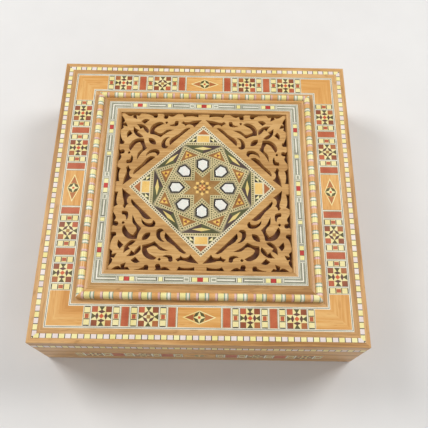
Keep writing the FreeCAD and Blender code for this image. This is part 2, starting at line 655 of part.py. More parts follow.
# Fret panel. One half of one corner is drawn, counter-clockwise, and the rest follows by mirror and turn.
FRET_OPENINGS = [
    # sprig on the edge
    [(-67.6, -70), (-53.6, -70), (-55.4, -67.9), (-58, -68.4), (-56.9, -64.4), (-60.5, -66.2), (-60.2, -68.7),
     (-62.4, -67.4)],
    # comma with a round head
    [(-50.5, -70), (-40, -70), (-39.7, -67.6), (-40.2, -66.5), (-41.4, -66.2), (-42.5, -66.6),
     (-42.9, -67.6, -0.15)],
    # two bumps with a tail
    [(-34.8, -70), (-22.5, -70), (-27.3, -67.6), (-30.3, -68.8), (-30.7, -66.8), (-31.2, -65.7),
     (-32.5, -65.3), (-33.8, -65.8), (-34.2, -66.8), (-33.4, -68.9)],
    # bone
    [(-18, -70), (-4.9, -70), (-4.9, -67.5), (-6.5, -68), (-14.6, -68.1), (-16.2, -67.2)],
    # wedge under the diamond's tip
    [(-19, -61), (-17.3, -62.7), (-15.2, -61.8), (-8, -63.4), (-1.6, -64.4), (-6.4, -59.3), (-7.9, -57.4),
     (-9.6, -59.5), (-14.3, -59.7), (-15.3, -58.4), (-16, -59.7)],
    # slit along the diamond
    [(-27.7, -39.4), (-28.1, -43.4), (-20.5, -50.2), (-13.2, -56.3), (-11.2, -56.1), (-17.1, -50.6)],
    # hook
    [(-29.4, -37.9), (-30.5, -36.6), (-32.3, -36.3), (-34, -37.1), (-34.8, -39), (-34.6, -42), (-33, -44.8),
     (-30.8, -46.5), (-28, -47.2), (-30.3, -45.6), (-31.6, -43.4), (-32.1, -41.2), (-31.6, -38.9)],
    # crook round a leaf
    [(-24.8, -54.4), (-31, -51.6), (-36, -47), (-40, -49), (-44.8, -50, 0.15), (-44.4, -56.6), (-41.6, -59.9),
     (-36, -61.6), (-33.8, -60.3), (-38, -57.9, -0.25), (-41.9, -52.8), (-36, -50.2), (-31, -53.8)],
    # drop
    [(-31.5, -60.3), (-32.6, -61.4), (-31.5, -62.3), (-30.5, -61.4)],
    # curl with an eye
    [(-29.1, -59), (-25.4, -59.8), (-24.4, -61.2), (-24.3, -62.3), (-23.5, -62.9), (-22.4, -62.9),
     (-21.6, -62.4), (-22.4, -58.7, 0.25)],
    # kite
    [(-50, -60), (-53, -62.3), (-50, -64.3), (-46.2, -63.8)],
    # crescent with a spur
    [(-46.7, -50.6, 0.15), (-51.2, -56.4), (-53.3, -54.8), (-54.6, -57.2), (-56.8, -59.2), (-52, -58.7, 0.2),
     (-46.4, -53.6)],
]
# the leaf on the corner's diagonal
FRET_EYE = [(-45.6, -45.6, 0.5), (-39.8, -39.8, 0.5)]
DIAGONAL = V(1, -1, 0)


def fret_panel():
    def drawn(points):
        return outline(points, lambda x, y: V(x * DRAWN, y * DRAWN, LID_TOP))

    corner = [drawn(FRET_EYE)]
    for points in FRET_OPENINGS:
        wire = drawn(points)
        corner += [wire, wire.mirror(V(0, 0, 0), DIAGONAL)]
    openings = [Part.Face(piece) for wire in corner for piece in round_the_box(wire)]
    edge = FIELD + FRET_TUCK - FRET_CLEAR
    rim = outline([(-edge, -edge), (edge, -edge), (edge, edge), (-edge, edge)], lambda x, y: V(x, y, LID_TOP))
    sheet = Part.Face(rim).cut(openings)
    return sheet.Faces[0].extrude(V(0, 0, FRET_THICK)).cut(diamond(DIAMOND_TIP, FRET_TOP + 1))


# Rosette, sawn from sheet and let into the diamond of the fret panel
def rosette_prism(points, top):
    return prism([(x * DRAWN, y * DRAWN) for x, y in points], FRET_TOP - INLAY, top)


def diamond(tip, top=FRET_TOP):
    return rosette_prism([(tip, 0), (0, tip), (-tip, 0), (0, -tip)], top)


def spread(points, ring, first):
    """A motif of (outward, sideways) points, repeated round the rosette."""
    copies = []
    for step in range(ROSETTE_FOLD):
        angle = math.radians(first + step * 360 / ROSETTE_FOLD)
        c, s = math.cos(angle), math.sin(angle)
        turned = [((ring + a) * c - b * s, (ring + a) * s + b * c) for a, b in points]
        copies.append(rosette_prism(turned, FRET_TOP))
    return copies


half_fold = 180 / ROSETTE_FOLD
PEARL = [(-PEARL_INNER, 0), (-PEARL_SHOULDER_IN, -PEARL_HALF_WIDTH), (PEARL_SHOULDER_OUT, -PEARL_HALF_WIDTH),
         (PEARL_OUTER, 0), (PEARL_SHOULDER_OUT, PEARL_HALF_WIDTH), (-PEARL_SHOULDER_IN, PEARL_HALF_WIDTH)]
KITE = [(-KITE_INNER, -KITE_HALF_WIDTH), (KITE_OUTER, 0), (-KITE_INNER, KITE_HALF_WIDTH)]
pearls = spread(PEARL, PEARL_RING, 0)
kites = spread(KITE, KITE_RING, half_fold)
star_points = []
for step in range(2 * ROSETTE_FOLD):
    radius = STAR_TIP if step % 2 else STAR_NOTCH
    angle = math.radians(step * half_fold)
    star_points.append((radius * math.cos(angle), radius * math.sin(angle)))
star = rosette_prism(star_points, FRET_TOP)
strip_tip = DIAMOND_TIP - DIAMOND_STRIP * math.sqrt(2)
border = rosette_prism([(0, -DIAMOND_TIP), (DIAMOND_TIP, 0), (strip_tip, 0), (0, -strip_tip)], FRET_TOP)
keep("fret_panel", fret_panel())
keep("medallion_border", *round_the_box(border))
keep("medallion_pearls", *pearls)
keep("medallion_kites", *kites)
keep("medallion_star", star)
keep("medallion_ground", diamond(strip_tip).cut([*pearls, *kites, star]))

os.makedirs("parts", exist_ok=True)
for name, solids in nodes.items():
    shape = solids[0] if len(solids) == 1 else Part.makeCompound(solids)
    shape.exportStep(f"parts/{name}.step")
print(len(nodes), "pieces and groups,", sum(len(solids) for solids in nodes.values()), "solids")
print("field", round(FIELD, 2), "outer height", FRAME_TOP)
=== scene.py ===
# %% [markdown]
# # A marquetry box with a hidden lock
# The box is a square wooden chest with a hinged lid. Its top carries a band of inlaid tiles, a raised and
# coved frame, a sawn fret panel and a rosette of shell and coloured sticks. The CAD model already has every
# board, tile and hinge leaf at its true place, so this lesson only has to dress it: each step takes one kind
# of piece, models what the eye sees of it, and lets it stand for the CAD solid.

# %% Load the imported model
import json
import math
from contextlib import contextmanager
from functools import partial

import bpy
from mathutils import Matrix, Vector

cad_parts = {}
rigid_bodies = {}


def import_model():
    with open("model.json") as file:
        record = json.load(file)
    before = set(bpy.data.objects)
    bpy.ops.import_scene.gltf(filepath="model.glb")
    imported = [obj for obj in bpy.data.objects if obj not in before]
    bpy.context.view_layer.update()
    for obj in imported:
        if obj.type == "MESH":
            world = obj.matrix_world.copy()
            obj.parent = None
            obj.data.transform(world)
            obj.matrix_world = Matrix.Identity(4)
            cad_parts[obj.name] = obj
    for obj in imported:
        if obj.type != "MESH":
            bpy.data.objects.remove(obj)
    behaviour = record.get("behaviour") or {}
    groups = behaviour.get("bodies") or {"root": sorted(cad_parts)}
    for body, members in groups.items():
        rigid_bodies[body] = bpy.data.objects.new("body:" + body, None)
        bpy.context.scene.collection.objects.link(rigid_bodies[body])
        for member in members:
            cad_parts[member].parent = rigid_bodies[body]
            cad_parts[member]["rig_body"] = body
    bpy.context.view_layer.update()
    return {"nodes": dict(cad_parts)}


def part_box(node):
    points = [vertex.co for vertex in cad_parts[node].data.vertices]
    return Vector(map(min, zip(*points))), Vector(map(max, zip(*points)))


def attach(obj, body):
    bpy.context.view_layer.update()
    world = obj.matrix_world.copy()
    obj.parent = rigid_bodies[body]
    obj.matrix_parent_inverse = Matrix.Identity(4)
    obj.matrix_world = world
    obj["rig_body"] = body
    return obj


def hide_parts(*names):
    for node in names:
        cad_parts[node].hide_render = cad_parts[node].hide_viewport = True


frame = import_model()
scene = bpy.context.scene
MM = 0.001

# %% [markdown]
# ## Camera
# The picture looks down on the lid from the front, from about arm's length. A camera fitted to the lid's
# corners gives its place, the way it looks and which way is up, so the three directions fill a rotation
# matrix and nothing has to be guessed by eye. A first helper adds any object with nothing else selected.


# %% Camera
def made(operator, **settings):
    """Run an operator that adds an object, with nothing else selected, and return the object."""
    bpy.ops.object.select_all(action="DESELECT")
    operator(**settings)
    return bpy.context.object


LOOK, UPWARD = Vector((0.00767, 0.40183, -0.91568)), Vector((-0.01661, 0.91563, 0.40167))
CAMERA_SPOT, LENS = Vector((6.45, -197.0, 465.5)) * MM, 46.07
axes = Matrix((LOOK.cross(UPWARD), UPWARD, -LOOK)).transposed()
camera = made(bpy.ops.object.camera_add)
camera.matrix_world = Matrix.Translation(CAMERA_SPOT) @ axes.to_4x4()
camera.data.lens = LENS
scene.camera = camera
scene.view_settings.view_transform = "Standard"
print("camera is", round(camera.location.length, 3), "m from the box")

# %% [markdown]
# ## Helpers for materials
# Colours are easiest to pick as sRGB hex values, but shader sockets want linear light, so one function
# converts them. A second one fills a node's sockets with values or links, and a third adds any shader node
# with its inputs, where a list of stops fills a colour ramp.


# %% Colour and node helpers
def linear(colour):
    """sRGB hex to linear RGBA."""
    parts = [int(colour[start:start + 2], 16) / 255 for start in (1, 3, 5)]
    return (*[c / 12.92 if c <= 0.04045 else ((c + 0.055) / 1.055) ** 2.4 for c in parts], 1.0)


def fill(node, inputs):
    """Fill a node's inputs: another node's socket is linked, and anything else is a value."""
    for socket, value in dict(inputs).items():
        if isinstance(value, bpy.types.NodeSocket):
            node.id_data.links.new(value, node.inputs[socket])
        else:
            node.inputs[socket].default_value = value


def add(tree, kind, inputs=(), stops=(), **settings):
    """Add a shader node with its settings, inputs and colour stops, and return the first output in use."""
    node = tree.nodes.new("ShaderNode" + kind)
    for name, value in settings.items():
        setattr(node, name, value)
    fill(node, inputs)
    if stops:
        while len(node.color_ramp.elements) < len(stops):
            node.color_ramp.elements.new(0.5)
        for element, (position, colour) in zip(node.color_ramp.elements, stops):
            element.position = position
            element.color = linear(colour)
    return next(socket for socket in node.outputs if socket.enabled)


FINISH = {}


def new_finish(name):
    """Start a material: its tree, its shader and the object coordinates that patterns hang on."""
    FINISH[name] = bpy.data.materials.new(name)
    FINISH[name].use_nodes = True
    tree = FINISH[name].node_tree
    return tree, tree.nodes["Principled BSDF"], add(tree, "TexCoord").node.outputs["Object"]


print("helpers ready")

# %% [markdown]
# ## Floor and light
# A plain pale floor and soft light keep the attention on the box. In the picture the light comes from above
# and behind, so two lamps hang there, one at each side, and a weaker one fills the front. The place right
# behind the box is left free, because a lamp there would shine back off the polished lid into the camera.
# All are big squares, because a big lamp gives soft edges to the shadows inside the fret.


# %% Floor and light
def only(piece):
    """Leave one object selected and active, because an operator acts on all that is selected."""
    bpy.ops.object.select_all(action="DESELECT")
    piece.select_set(True)
    bpy.context.view_layer.objects.active = piece
    return piece


@contextmanager
def edit(piece):
    """Edit mode on one piece with all of its mesh selected, and back to object mode."""
    only(piece)
    bpy.ops.object.mode_set(mode="EDIT")
    bpy.ops.mesh.select_all(action="SELECT")
    yield
    bpy.ops.object.mode_set(mode="OBJECT")


def dressed(piece, *finishes):
    """Give a piece these finishes, in the order of its material slots."""
    piece.data.materials.clear()
    for finish in finishes:
        piece.data.materials.append(FINISH[finish])
    return piece


FLOOR_SIZE, FLOOR_DROP, ROOM_LIGHT = 8, 0.0003, 0.38
floor = made(bpy.ops.mesh.primitive_plane_add, size=FLOOR_SIZE, location=(0, 0, -FLOOR_DROP))
floor.name = "floor"
with edit(floor):
    bpy.ops.mesh.subdivide(number_cuts=3)
tree, shader, place = new_finish("matt_paper")
fibres = add(tree, "TexNoise", {"Vector": place, "Scale": 1000 / 40, "Detail": 3})
tones = add(tree, "ValToRGB", {"Fac": fibres}, stops=[(0.3, "#e6e4e1"), (0.7, "#e9e7e4")])
fill(shader, {"Base Color": tones, "Roughness": 0.8})
dressed(floor, "matt_paper")

LAMPS = [("back_left", (-0.95, 0.5, 1.15), 0.6, 11.0), ("back_right", (0.95, 0.5, 1.15), 0.6, 10.2),
         ("front", (0.3, -0.9, 1.0), 1.0, 2.4)]
for name, spot, size, power in LAMPS:
    lamp = made(bpy.ops.object.light_add, type="AREA", location=spot)
    lamp.name = name
    lamp.data.size = size
    lamp.data.energy = power
    lamp.rotation_euler = (-Vector(spot)).to_track_quat("-Z", "Y").to_euler()
scene.world = bpy.data.worlds.new("room_light")
scene.world.use_nodes = True
fill(scene.world.node_tree.nodes["Background"], {"Color": linear("#f2f3f5"), "Strength": ROOM_LIGHT})
print("floor and", len(LAMPS), "lamps")

# %% [markdown]
# ## Walnut boards
# The carcase, the frame and the fret are walnut, planed, stained to a honey brown and rubbed with shellac.
# Seen close, walnut has three things: broad growth bands, fine streaks along the board, and short dark
# pores. Each is noise stretched along the board. A streak's length and width in millimetres, turned into
# repeats per metre, give the scale. Streaks in real walnut are under a millimetre wide, and here they are
# drawn at about 1.6 mm, because finer ones would vanish in the picture.
#
# All the boards meet in mitres, so the grain turns the corner. Two materials could do that, one for each
# direction, but the mitre planes all pass through the middle of the box. Where a point lies further out
# along x than along y, it belongs to a left or right board, and swapping x and y there turns the grain.


# %% Walnut
def repeats(long, wide):
    """Repeats per metre for a streak of this length and width in mm that runs along X."""
    return (1000 / long, 1000 / wide, 1000 / wide)


def out_from_middle(tree, place):
    """How far a point is from the middle, along x and along y, with the point's own parts."""
    point = add(tree, "SeparateXYZ", {0: place}).node.outputs
    out_x, out_y = (add(tree, "Math", {0: part}, operation="ABSOLUTE") for part in point[:2])
    return out_x, out_y, point


# Length and width in mm, and detail, of the bands, the streaks and the pores.
GRAIN = ((150, 9, 3), (38, 1.6, 3), (7, 0.9, 0))


def walnut(name, dark, middle, light, mitred_grain=True, pore=0.55):
    """Shellacked walnut. Its satin coat gives a soft gloss over a grain that can just be felt."""
    tree, shader, place = new_finish(name)
    if mitred_grain:
        out_x, out_y, (x, y, z) = out_from_middle(tree, place)
        beside = add(tree, "Math", {0: out_x, 1: out_y}, operation="GREATER_THAN")
        swapped = add(tree, "CombineXYZ", {0: y, 1: x, 2: z})
        place = add(tree, "Mix", {0: beside, 4: place, 5: swapped}, data_type="VECTOR")
    layers = []
    for long, wide, detail in GRAIN:
        grain = add(tree, "Mapping", {"Vector": place, "Scale": repeats(long, wide)})
        layers.append(add(tree, "TexNoise", {"Vector": grain, "Scale": 1, "Detail": detail,
                                             "Distortion": 0.5}))
    bands, streaks, dashes = layers
    share = add(tree, "Math", {0: bands, 1: 0.55}, operation="MULTIPLY")
    figure = add(tree, "Math", {0: streaks, 1: 0.45, 2: share}, operation="MULTIPLY_ADD")
    tone = add(tree, "ValToRGB", {"Fac": figure}, stops=[(0.36, dark), (0.5, middle), (0.64, light)])
    pores = add(tree, "MapRange", {"Value": dashes, "From Min": 0.62, "From Max": 0.74, "To Max": pore})
    colour = add(tree, "Mix", {0: pores, 6: tone, 7: linear(dark)}, data_type="RGBA")
    gloss = add(tree, "MapRange", {"Value": streaks, "From Min": 0.3, "From Max": 0.7,
                                   "To Min": 0.34, "To Max": 0.5})
    relief = add(tree, "Bump", {"Height": figure, "Strength": 0.25, "Distance": 0.0002})
    fill(shader, {"Base Color": colour, "Roughness": gloss, "Normal": relief, "IOR": 1.5,
                  "Coat Weight": 0.15, "Coat Roughness": 0.28})


walnut("walnut", "#a27239", "#cf9c5e", "#e0b478")
walnut("board_walnut", "#a6763f", "#cd9c5f", "#deb278")
walnut("frame_walnut", "#a1723c", "#c9985a", "#dab074")
walnut("fret_walnut", "#b28246", "#cc9d5c", "#daad6d", mitred_grain=False, pore=0.8)
walnut("olive_veneer", "#cb8b3e", "#dda154", "#e8b76e")
walnut("plain_plywood", "#b08a5c", "#c9a678", "#d9bc92", mitred_grain=False)
print("woods with a grain:", ", ".join(list(FINISH)[1:]))

# %% [markdown]
# Under the fret the lid's board is darkened with painted shade: a dark colour stands for the shade that
# falls into the fret's openings, so that the openings read from across a table. The painted shade ends under
# the frame, where it does not show. A square about the middle is the set of points where neither x nor y is
# further out than its half width, so the larger of the two, compared with that half width, is the mask.

# %% Painted shade under the fret
PAINTED_SHADE_HALF = 72.5
tree = FINISH["board_walnut"].node_tree
shader = tree.nodes["Principled BSDF"]
unshaded_colour = shader.inputs["Base Color"].links[0].from_socket
out_x, out_y, _ = out_from_middle(tree, add(tree, "TexCoord").node.outputs["Object"])
furthest = add(tree, "Math", {0: out_x, 1: out_y}, operation="MAXIMUM")
# The mask marks where the painted shade goes: under the fret, inside the frame.
painted_shade_mask = add(tree, "Math", {0: furthest, 1: PAINTED_SHADE_HALF * MM}, operation="LESS_THAN")
# This dark colour, multiplied over the grain, is painted shade for the fret's openings.
dark = add(tree, "Mix", {0: 1.0, 6: unshaded_colour, 7: linear("#8a6a4c")}, data_type="RGBA", blend_type="MULTIPLY")
fill(shader, {"Base Color": add(tree, "Mix", {0: painted_shade_mask, 6: unshaded_colour, 7: dark}, data_type="RGBA")})
# The square counted in this print is painted shade.
print("stain covers", 2 * PAINTED_SHADE_HALF, "mm square")

# %% [markdown]
# ## Stick woods, bone and shell
# Marquetry of this kind starts as thin sticks of many woods, glued into a bundle and sliced like a loaf.
# Lemon wood is cream, rose wood red, walnut brown, and dyed beech gives green and grey. Bone gives the white
# lines. The end grain of a stick has no long streaks, only a fine mottle, so each stick finish is one colour
# that drifts a little, with a mottle of about a millimetre under clear shellac.


# %% Stick finishes
def stick(name, dark, light):
    """End grain under shellac: nearly one colour, with a fine mottle and a slow drift from chip to chip."""
    tree, shader, place = new_finish(name)
    drift = add(tree, "TexNoise", {"Vector": place, "Scale": 1000 / 11, "Detail": 1})
    mottle = add(tree, "TexNoise", {"Vector": place, "Scale": 1000 / 0.9, "Detail": 2})
    mixed = add(tree, "Mix", {0: 0.35, 2: drift, 3: mottle}, data_type="FLOAT")
    tone = add(tree, "ValToRGB", {"Fac": mixed}, stops=[(0.35, dark), (0.65, light)])
    relief = add(tree, "Bump", {"Height": mottle, "Strength": 0.15, "Distance": 0.0001})
    gloss = add(tree, "MapRange", {"Value": mottle, "To Min": 0.26, "To Max": 0.46})
    fill(shader, {"Base Color": tone, "Roughness": gloss, "Normal": relief, "IOR": 1.5,
                  "Coat Weight": 0.12, "Coat Roughness": 0.25})


STICKS = {
    "lemon": ("#ebd98c", "#f4e8b0"), "yellow": ("#efdf8c", "#faf1b4"), "bone": ("#e8e0c6", "#f7f2de"),
    "straw": ("#c5b47f", "#dfcd9b"), "ivory": ("#ddcfa6", "#f0e4c0"), "pink_shell": ("#e3d0c8", "#f2e7df"),
    "green": ("#4a4b2a", "#63633c"), "plum": ("#463630", "#5c4b42"), "honey": ("#986e37", "#b58b4f"),
    "bottle_green": ("#4f4a22", "#655e34"), "ebony": ("#2b2520", "#3f372f"), "wine": ("#57342a", "#6d483b"),
    "corn": ("#dcc06c", "#ead58c"), "rose": ("#b0522f", "#c76c42"), "maroon": ("#864524", "#a05832"),
    "rust": ("#a55d2e", "#bb7540"), "orange_red": ("#c24f27", "#da6a3a"),
    "grey_green": ("#96957c", "#aeac94"),
    "slate": ("#5f6257", "#787b6c"), "sage": ("#7f977c", "#a0b598"), "orange": ("#d89d55", "#e8b678"),
    "lilac": ("#d9a79c", "#eac6ba"), "amber": ("#e8b85e", "#f6d384"), "gold": ("#dca53e", "#efc468"),
    "brown": ("#87592b", "#a5743d"), "scarlet": ("#b5322a", "#d04a3c"),
}
for name, (dark, light) in STICKS.items():
    stick(name, dark, light)
print("stick finishes:", ", ".join(STICKS))

# %% [markdown]
# ## The rosette's fine ground
# Between its straps the rosette is filled with sticks of less than half a millimetre. They are far too fine
# to show, so they are drawn about three times as coarse, as a small checker of pale and dark ends on the
# diagonal. Shell is different: its layers scatter light, so it is white with faint pink and green clouds,
# and polished harder than the wood.

# %% Fine ground and shell
tree, shader, place = new_finish("fine_ground")
turned_place = add(tree, "Mapping", {"Vector": place, "Rotation": (0, 0, math.radians(45))})
checks = add(tree, "TexChecker", {"Vector": turned_place, "Scale": 1000 / 1.3,
                                  "Color1": linear("#b6aa84"), "Color2": linear("#6f6850")})
clouds = add(tree, "TexNoise", {"Vector": place, "Scale": 1000 / 5, "Detail": 2})
shade = add(tree, "ValToRGB", {"Fac": clouds}, stops=[(0.35, "#7f775a"), (0.65, "#b5a680")])
blend = add(tree, "Mix", {0: 0.5, 6: checks, 7: shade}, data_type="RGBA")
grit = add(tree, "Bump", {"Height": clouds, "Strength": 0.15, "Distance": 0.0002})
fill(shader, {"Base Color": blend, "Normal": grit, "Roughness": 0.42, "Coat Weight": 0.25})

tree, shader, place = new_finish("mother_of_pearl")
clouds = add(tree, "TexNoise", {"Vector": place, "Scale": 1000 / 4, "Detail": 2, "Distortion": 1.5})
layers = add(tree, "ValToRGB", {"Fac": clouds},
             stops=[(0.3, "#e9e0d4"), (0.45, "#f2eee2"), (0.58, "#e6e9de"), (0.72, "#ecdfdb")])
ripple = add(tree, "Bump", {"Height": clouds, "Strength": 0.1, "Distance": 0.0002})
fill(shader, {"Base Color": layers, "Normal": ripple, "Roughness": 0.2, "IOR": 1.53,
              "Coat Weight": 0.4, "Coat Roughness": 0.1})
print("fine ground and shell ready")

# %% [markdown]
# ## Brass and velvet
# Hinges, lock and key are cast or sheet brass, brushed along and slightly dulled, so the roughness wanders
# and fine scratches run one way. The lining is velvet: dark when seen straight on, and paler towards the
# edge of a fold, which is what the sheen of the shader is for.

# %% Brass and velvet
tree, shader, place = new_finish("brushed_brass")
brushed = add(tree, "Mapping", {"Vector": place, "Scale": repeats(14, 0.35)})
scratches = add(tree, "TexNoise", {"Vector": brushed, "Scale": 1, "Detail": 2})
tarnish = add(tree, "TexNoise", {"Vector": place, "Scale": 1000 / 6, "Detail": 3})
tone = add(tree, "ValToRGB", {"Fac": tarnish}, stops=[(0.35, "#a8843f"), (0.6, "#cfae62")])
gloss = add(tree, "MapRange", {"Value": scratches, "To Min": 0.22, "To Max": 0.5})
relief = add(tree, "Bump", {"Height": scratches, "Strength": 0.12, "Distance": 0.0001})
fill(shader, {"Base Color": tone, "Roughness": gloss, "Normal": relief, "Metallic": 1.0})

tree, shader, place = new_finish("red_velvet")
nap = add(tree, "TexNoise", {"Vector": place, "Scale": 1000 / 30, "Detail": 3, "Distortion": 0.8})
pile = add(tree, "TexNoise", {"Vector": place, "Scale": 1000 / 1.1, "Detail": 2})
tone = add(tree, "ValToRGB", {"Fac": nap}, stops=[(0.35, "#741824"), (0.65, "#86202c")])
relief = add(tree, "Bump", {"Height": pile, "Strength": 0.5, "Distance": 0.0004})
fill(shader, {"Base Color": tone, "Normal": relief, "Roughness": 0.95, "Sheen Weight": 0.5,
              "Sheen Roughness": 0.4})
print(len(FINISH), "finishes in all")

# %% [markdown]
# ## Planed boards with broken edges
# No cabinet maker leaves an edge sharp: a pass of fine paper rounds it by a fraction of a millimetre, and
# that thin line of light is what makes a board look real. The CAD boards have the right shape but razor
# edges. So a board is copied, its loose triangles are merged, flat neighbours are joined again, and a
# narrow bevel runs along every outer edge sharper than thirty degrees. The inner corners of a groove are
# left out, because a bevel there would add wood where a strip has to slide. So are short edges, as round a
# screw hole or the bed of a plate, where bevels from all sides would run into each other. Flat faces stay
# flat shaded, and only the coves of the frame are shaded smooth.


# %% Helpers for boards
def hand_over(piece, slot, *nodes):
    """Let a finished piece stand for its CAD nodes, on the same body."""
    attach(piece, frame["nodes"][nodes[0]]["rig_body"])
    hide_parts(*nodes)
    return piece


def merged(node, name, flat=None):
    """A copy of a CAD node with its triangles merged, and faces within this many degrees of flat joined."""
    piece = bpy.data.objects.new(name, frame["nodes"][node].data.copy())
    scene.collection.objects.link(piece)
    with edit(piece):
        bpy.ops.mesh.remove_doubles(threshold=1e-6)
        if flat:
            bpy.ops.mesh.dissolve_limited(angle_limit=math.radians(flat))
    return piece


def pick(piece, kind, wanted):
    """Enter edit mode on a piece with only these edges or polygons selected."""
    only(piece)
    scene.tool_settings.mesh_select_mode = (False, kind == "edges", kind == "polygons")
    for items in (piece.data.vertices, piece.data.edges, piece.data.polygons):
        for item in items:
            item.select = False
    for index in wanted:
        getattr(piece.data, kind)[index].select = True
    bpy.ops.object.mode_set(mode="EDIT")


print("a wall of the box comes as", len(frame["nodes"]["front_wall"].data.polygons), "loose triangles")

# %% Edges to break
SAME_PLANE, SHARP, CLOSE = math.radians(1), math.radians(30), math.radians(25)
ROOM = 2.5     # a face beside a bevel is at least this many bevels wide


def edges_to_ease(mesh, ease, shortest):
    """Long outer edges that a bevel of this width, in metres, can run along without folding a face."""
    place = [vertex.co for vertex in mesh.vertices]
    sides, seams = {}, {}
    for face in mesh.polygons:
        longest = max((place[start] - place[end]).length for start, end in face.edge_keys)
        for key in face.edge_keys:
            sides.setdefault(key, []).append((face, face.area / longest))
    for (start, end), ((one, _), (other, _)) in sides.items():
        if one.normal.angle(other.normal) < SAME_PLANE:
            seams.setdefault(start, []).append(end)
            seams.setdefault(end, []).append(start)
    for edge in mesh.edges:
        (one, width), (other, other_width) = sides[edge.key]
        along = place[edge.vertices[1]] - place[edge.vertices[0]]
        outer = (other.center - one.center).dot(one.normal) < 0
        sharp = one.normal.angle(other.normal) > SHARP
        close_seam = any((place[far] - place[near]).angle(along * way) < CLOSE
                         for near, way in zip(edge.vertices, (1, -1)) for far in seams.get(near, []))
        roomy = min(width, other_width) > ROOM * ease
        if outer and sharp and roomy and not close_seam and along.length > shortest:
            yield edge.index


def eased(node, finish, slot, ease, shortest=4.0, smooth=0):
    """A copy of a CAD board with its long sharp edges broken by this many mm."""
    piece = dressed(merged(node, node + "_eased", flat=0.5), finish)
    pick(piece, "edges", list(edges_to_ease(piece.data, ease * MM, shortest * MM)))
    bpy.ops.mesh.bevel(offset=ease * MM, segments=2, affect="EDGES", clamp_overlap=False)
    bpy.ops.object.mode_set(mode="OBJECT")
    bpy.ops.object.shade_smooth_by_angle(angle=math.radians(smooth))
    return hand_over(piece, slot, node)


print("helpers for boards ready")

# %% Boards of the base and the lid
for side in ("front", "back", "left", "right"):
    eased(side + "_wall", "walnut", "box_wood", ease=0.4, shortest=150)
    eased(f"lid_{side}_rail", "walnut", "box_wood", ease=0.4, shortest=150)
    eased("frame_" + side, "frame_walnut", "frame_wood", ease=0.3, shortest=100, smooth=25)
for strip in ("front_slide", "front_fixed", "right_slide", "right_fixed", "left", "back"):
    eased(strip + "_strip", "walnut", "box_wood", ease=0.3, shortest=40)
eased("lid_board", "board_walnut", "box_wood", ease=0.1)
eased("bottom_panel", "plain_plywood", "bottom_wood", ease=0.3)

# %% [markdown]
# ## The fret panel
# The fret is one board, pierced with a fretsaw: a hundred openings, drawn on half a corner and mirrored
# round. A saw blade turns in smooth curves, while the CAD solid keeps its openings to a few straight cuts.
# Easing the solid would keep those corners, so the rims are read from it and drawn again as one flat Bezier
# curve: a knot where the saw was turned on the spot stays sharp, and the others are smooth. A filled curve
# takes holes, and its own extrude gives the thickness. Each knot also moves a hair into the wood, for what
# the file takes off after the saw. A square bed for the rosette's diamond closes the middle from below.


# %% Rims of the fret
def rims(mesh, level):
    """Closed loops of points, in mm, round the flat top of a merged mesh and round its openings."""
    ways = {}
    for face in mesh.polygons:
        if face.normal.z > 0.9 and face.center.z > level:
            corners = list(face.vertices)
            ways.update(dict.fromkeys(zip(corners, corners[1:] + corners[:1])))
    onward = {start: end for start, end in ways if (end, start) not in ways}
    loops = []
    while onward:
        point, loop = next(iter(onward)), []
        while point in onward:
            loop.append(mesh.vertices[point].co / MM)
            point = onward.pop(point)
        loops.append(loop)
    return loops


pattern = merged("fret_panel", "fret_pattern")
fret_low, fret_high = (corner[2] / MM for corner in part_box("fret_panel"))
fret_rims = rims(pattern.data, fret_high * MM - 1e-5)
bpy.data.objects.remove(pattern)
print("rims of the fret:", len(fret_rims), "with", sum(len(loop) for loop in fret_rims), "points")


# %% Fret panel
def shift(x, y, z):
    """A move, as a matrix."""
    return Matrix.Translation((x, y, z))


def shaped(operator, **settings):
    """Add a primitive and put its place, turn and scale into its mesh."""
    piece = made(operator, **settings)
    bpy.ops.object.transform_apply()
    return piece


def joined(pieces, name="master"):
    """Join pieces into one object."""
    only(pieces[0])
    for piece in pieces:
        piece.select_set(True)
    if len(pieces) > 1:
        bpy.ops.object.join()
    pieces[0].name = name
    return pieces[0]


FILED_OFF, TURNED_ON_THE_SPOT, BED, BED_SPARE = 0.28, 60, 1.5, 0.2     # mm, degrees, mm, mm
curve = bpy.data.curves.new("fret_panel_eased", "CURVE")
curve.dimensions, curve.fill_mode, curve.resolution_u = "2D", "BOTH", 3
curve.extrude = (fret_high - fret_low) / 2
bed_tip = 0.0
for loop in fret_rims:
    is_opening = sum(loop, Vector()).xy.length > 1          # not the board's own edge, nor the rosette's bed
    if not is_opening and min(abs(loop[0].x), abs(loop[0].y)) < 1:
        bed_tip = max(abs(point.x) for point in loop)
    spline = curve.splines.new("BEZIER")
    spline.bezier_points.add(len(loop) - 1)
    spline.use_cyclic_u = True
    knots = zip(loop[-1:] + loop[:-1], loop, loop[1:] + loop[:1], spline.bezier_points)
    for before, here, after, knot in knots:
        arrive, leave = (here - before).xy.normalized(), (after - here).xy.normalized()
        into_wood = Vector((-arrive.y - leave.y, arrive.x + leave.x))
        into_wood *= FILED_OFF * is_opening / max(into_wood.length_squared / 2, 0.8)
        knot.co = (here.x + into_wood.x, here.y + into_wood.y, 0)
        sharp = math.degrees(arrive.angle(leave)) > TURNED_ON_THE_SPOT
        knot.handle_left_type = knot.handle_right_type = "VECTOR" if sharp else "AUTO"
fret = bpy.data.objects.new("fret_panel_eased", curve)
scene.collection.objects.link(fret)
only(fret)
bpy.ops.object.convert(target="MESH")
fret = bpy.context.object
fret.data.transform(shift(0, 0, (fret_high + fret_low) / 2))
bed = shaped(bpy.ops.mesh.primitive_cylinder_add, vertices=4, radius=bed_tip + BED_SPARE,
             depth=fret_high - fret_low - BED, location=(0, 0, (fret_high - BED + fret_low) / 2))
fret = joined([fret, bed], "fret_panel_eased")
fret.data.transform(Matrix.Scale(MM, 4))
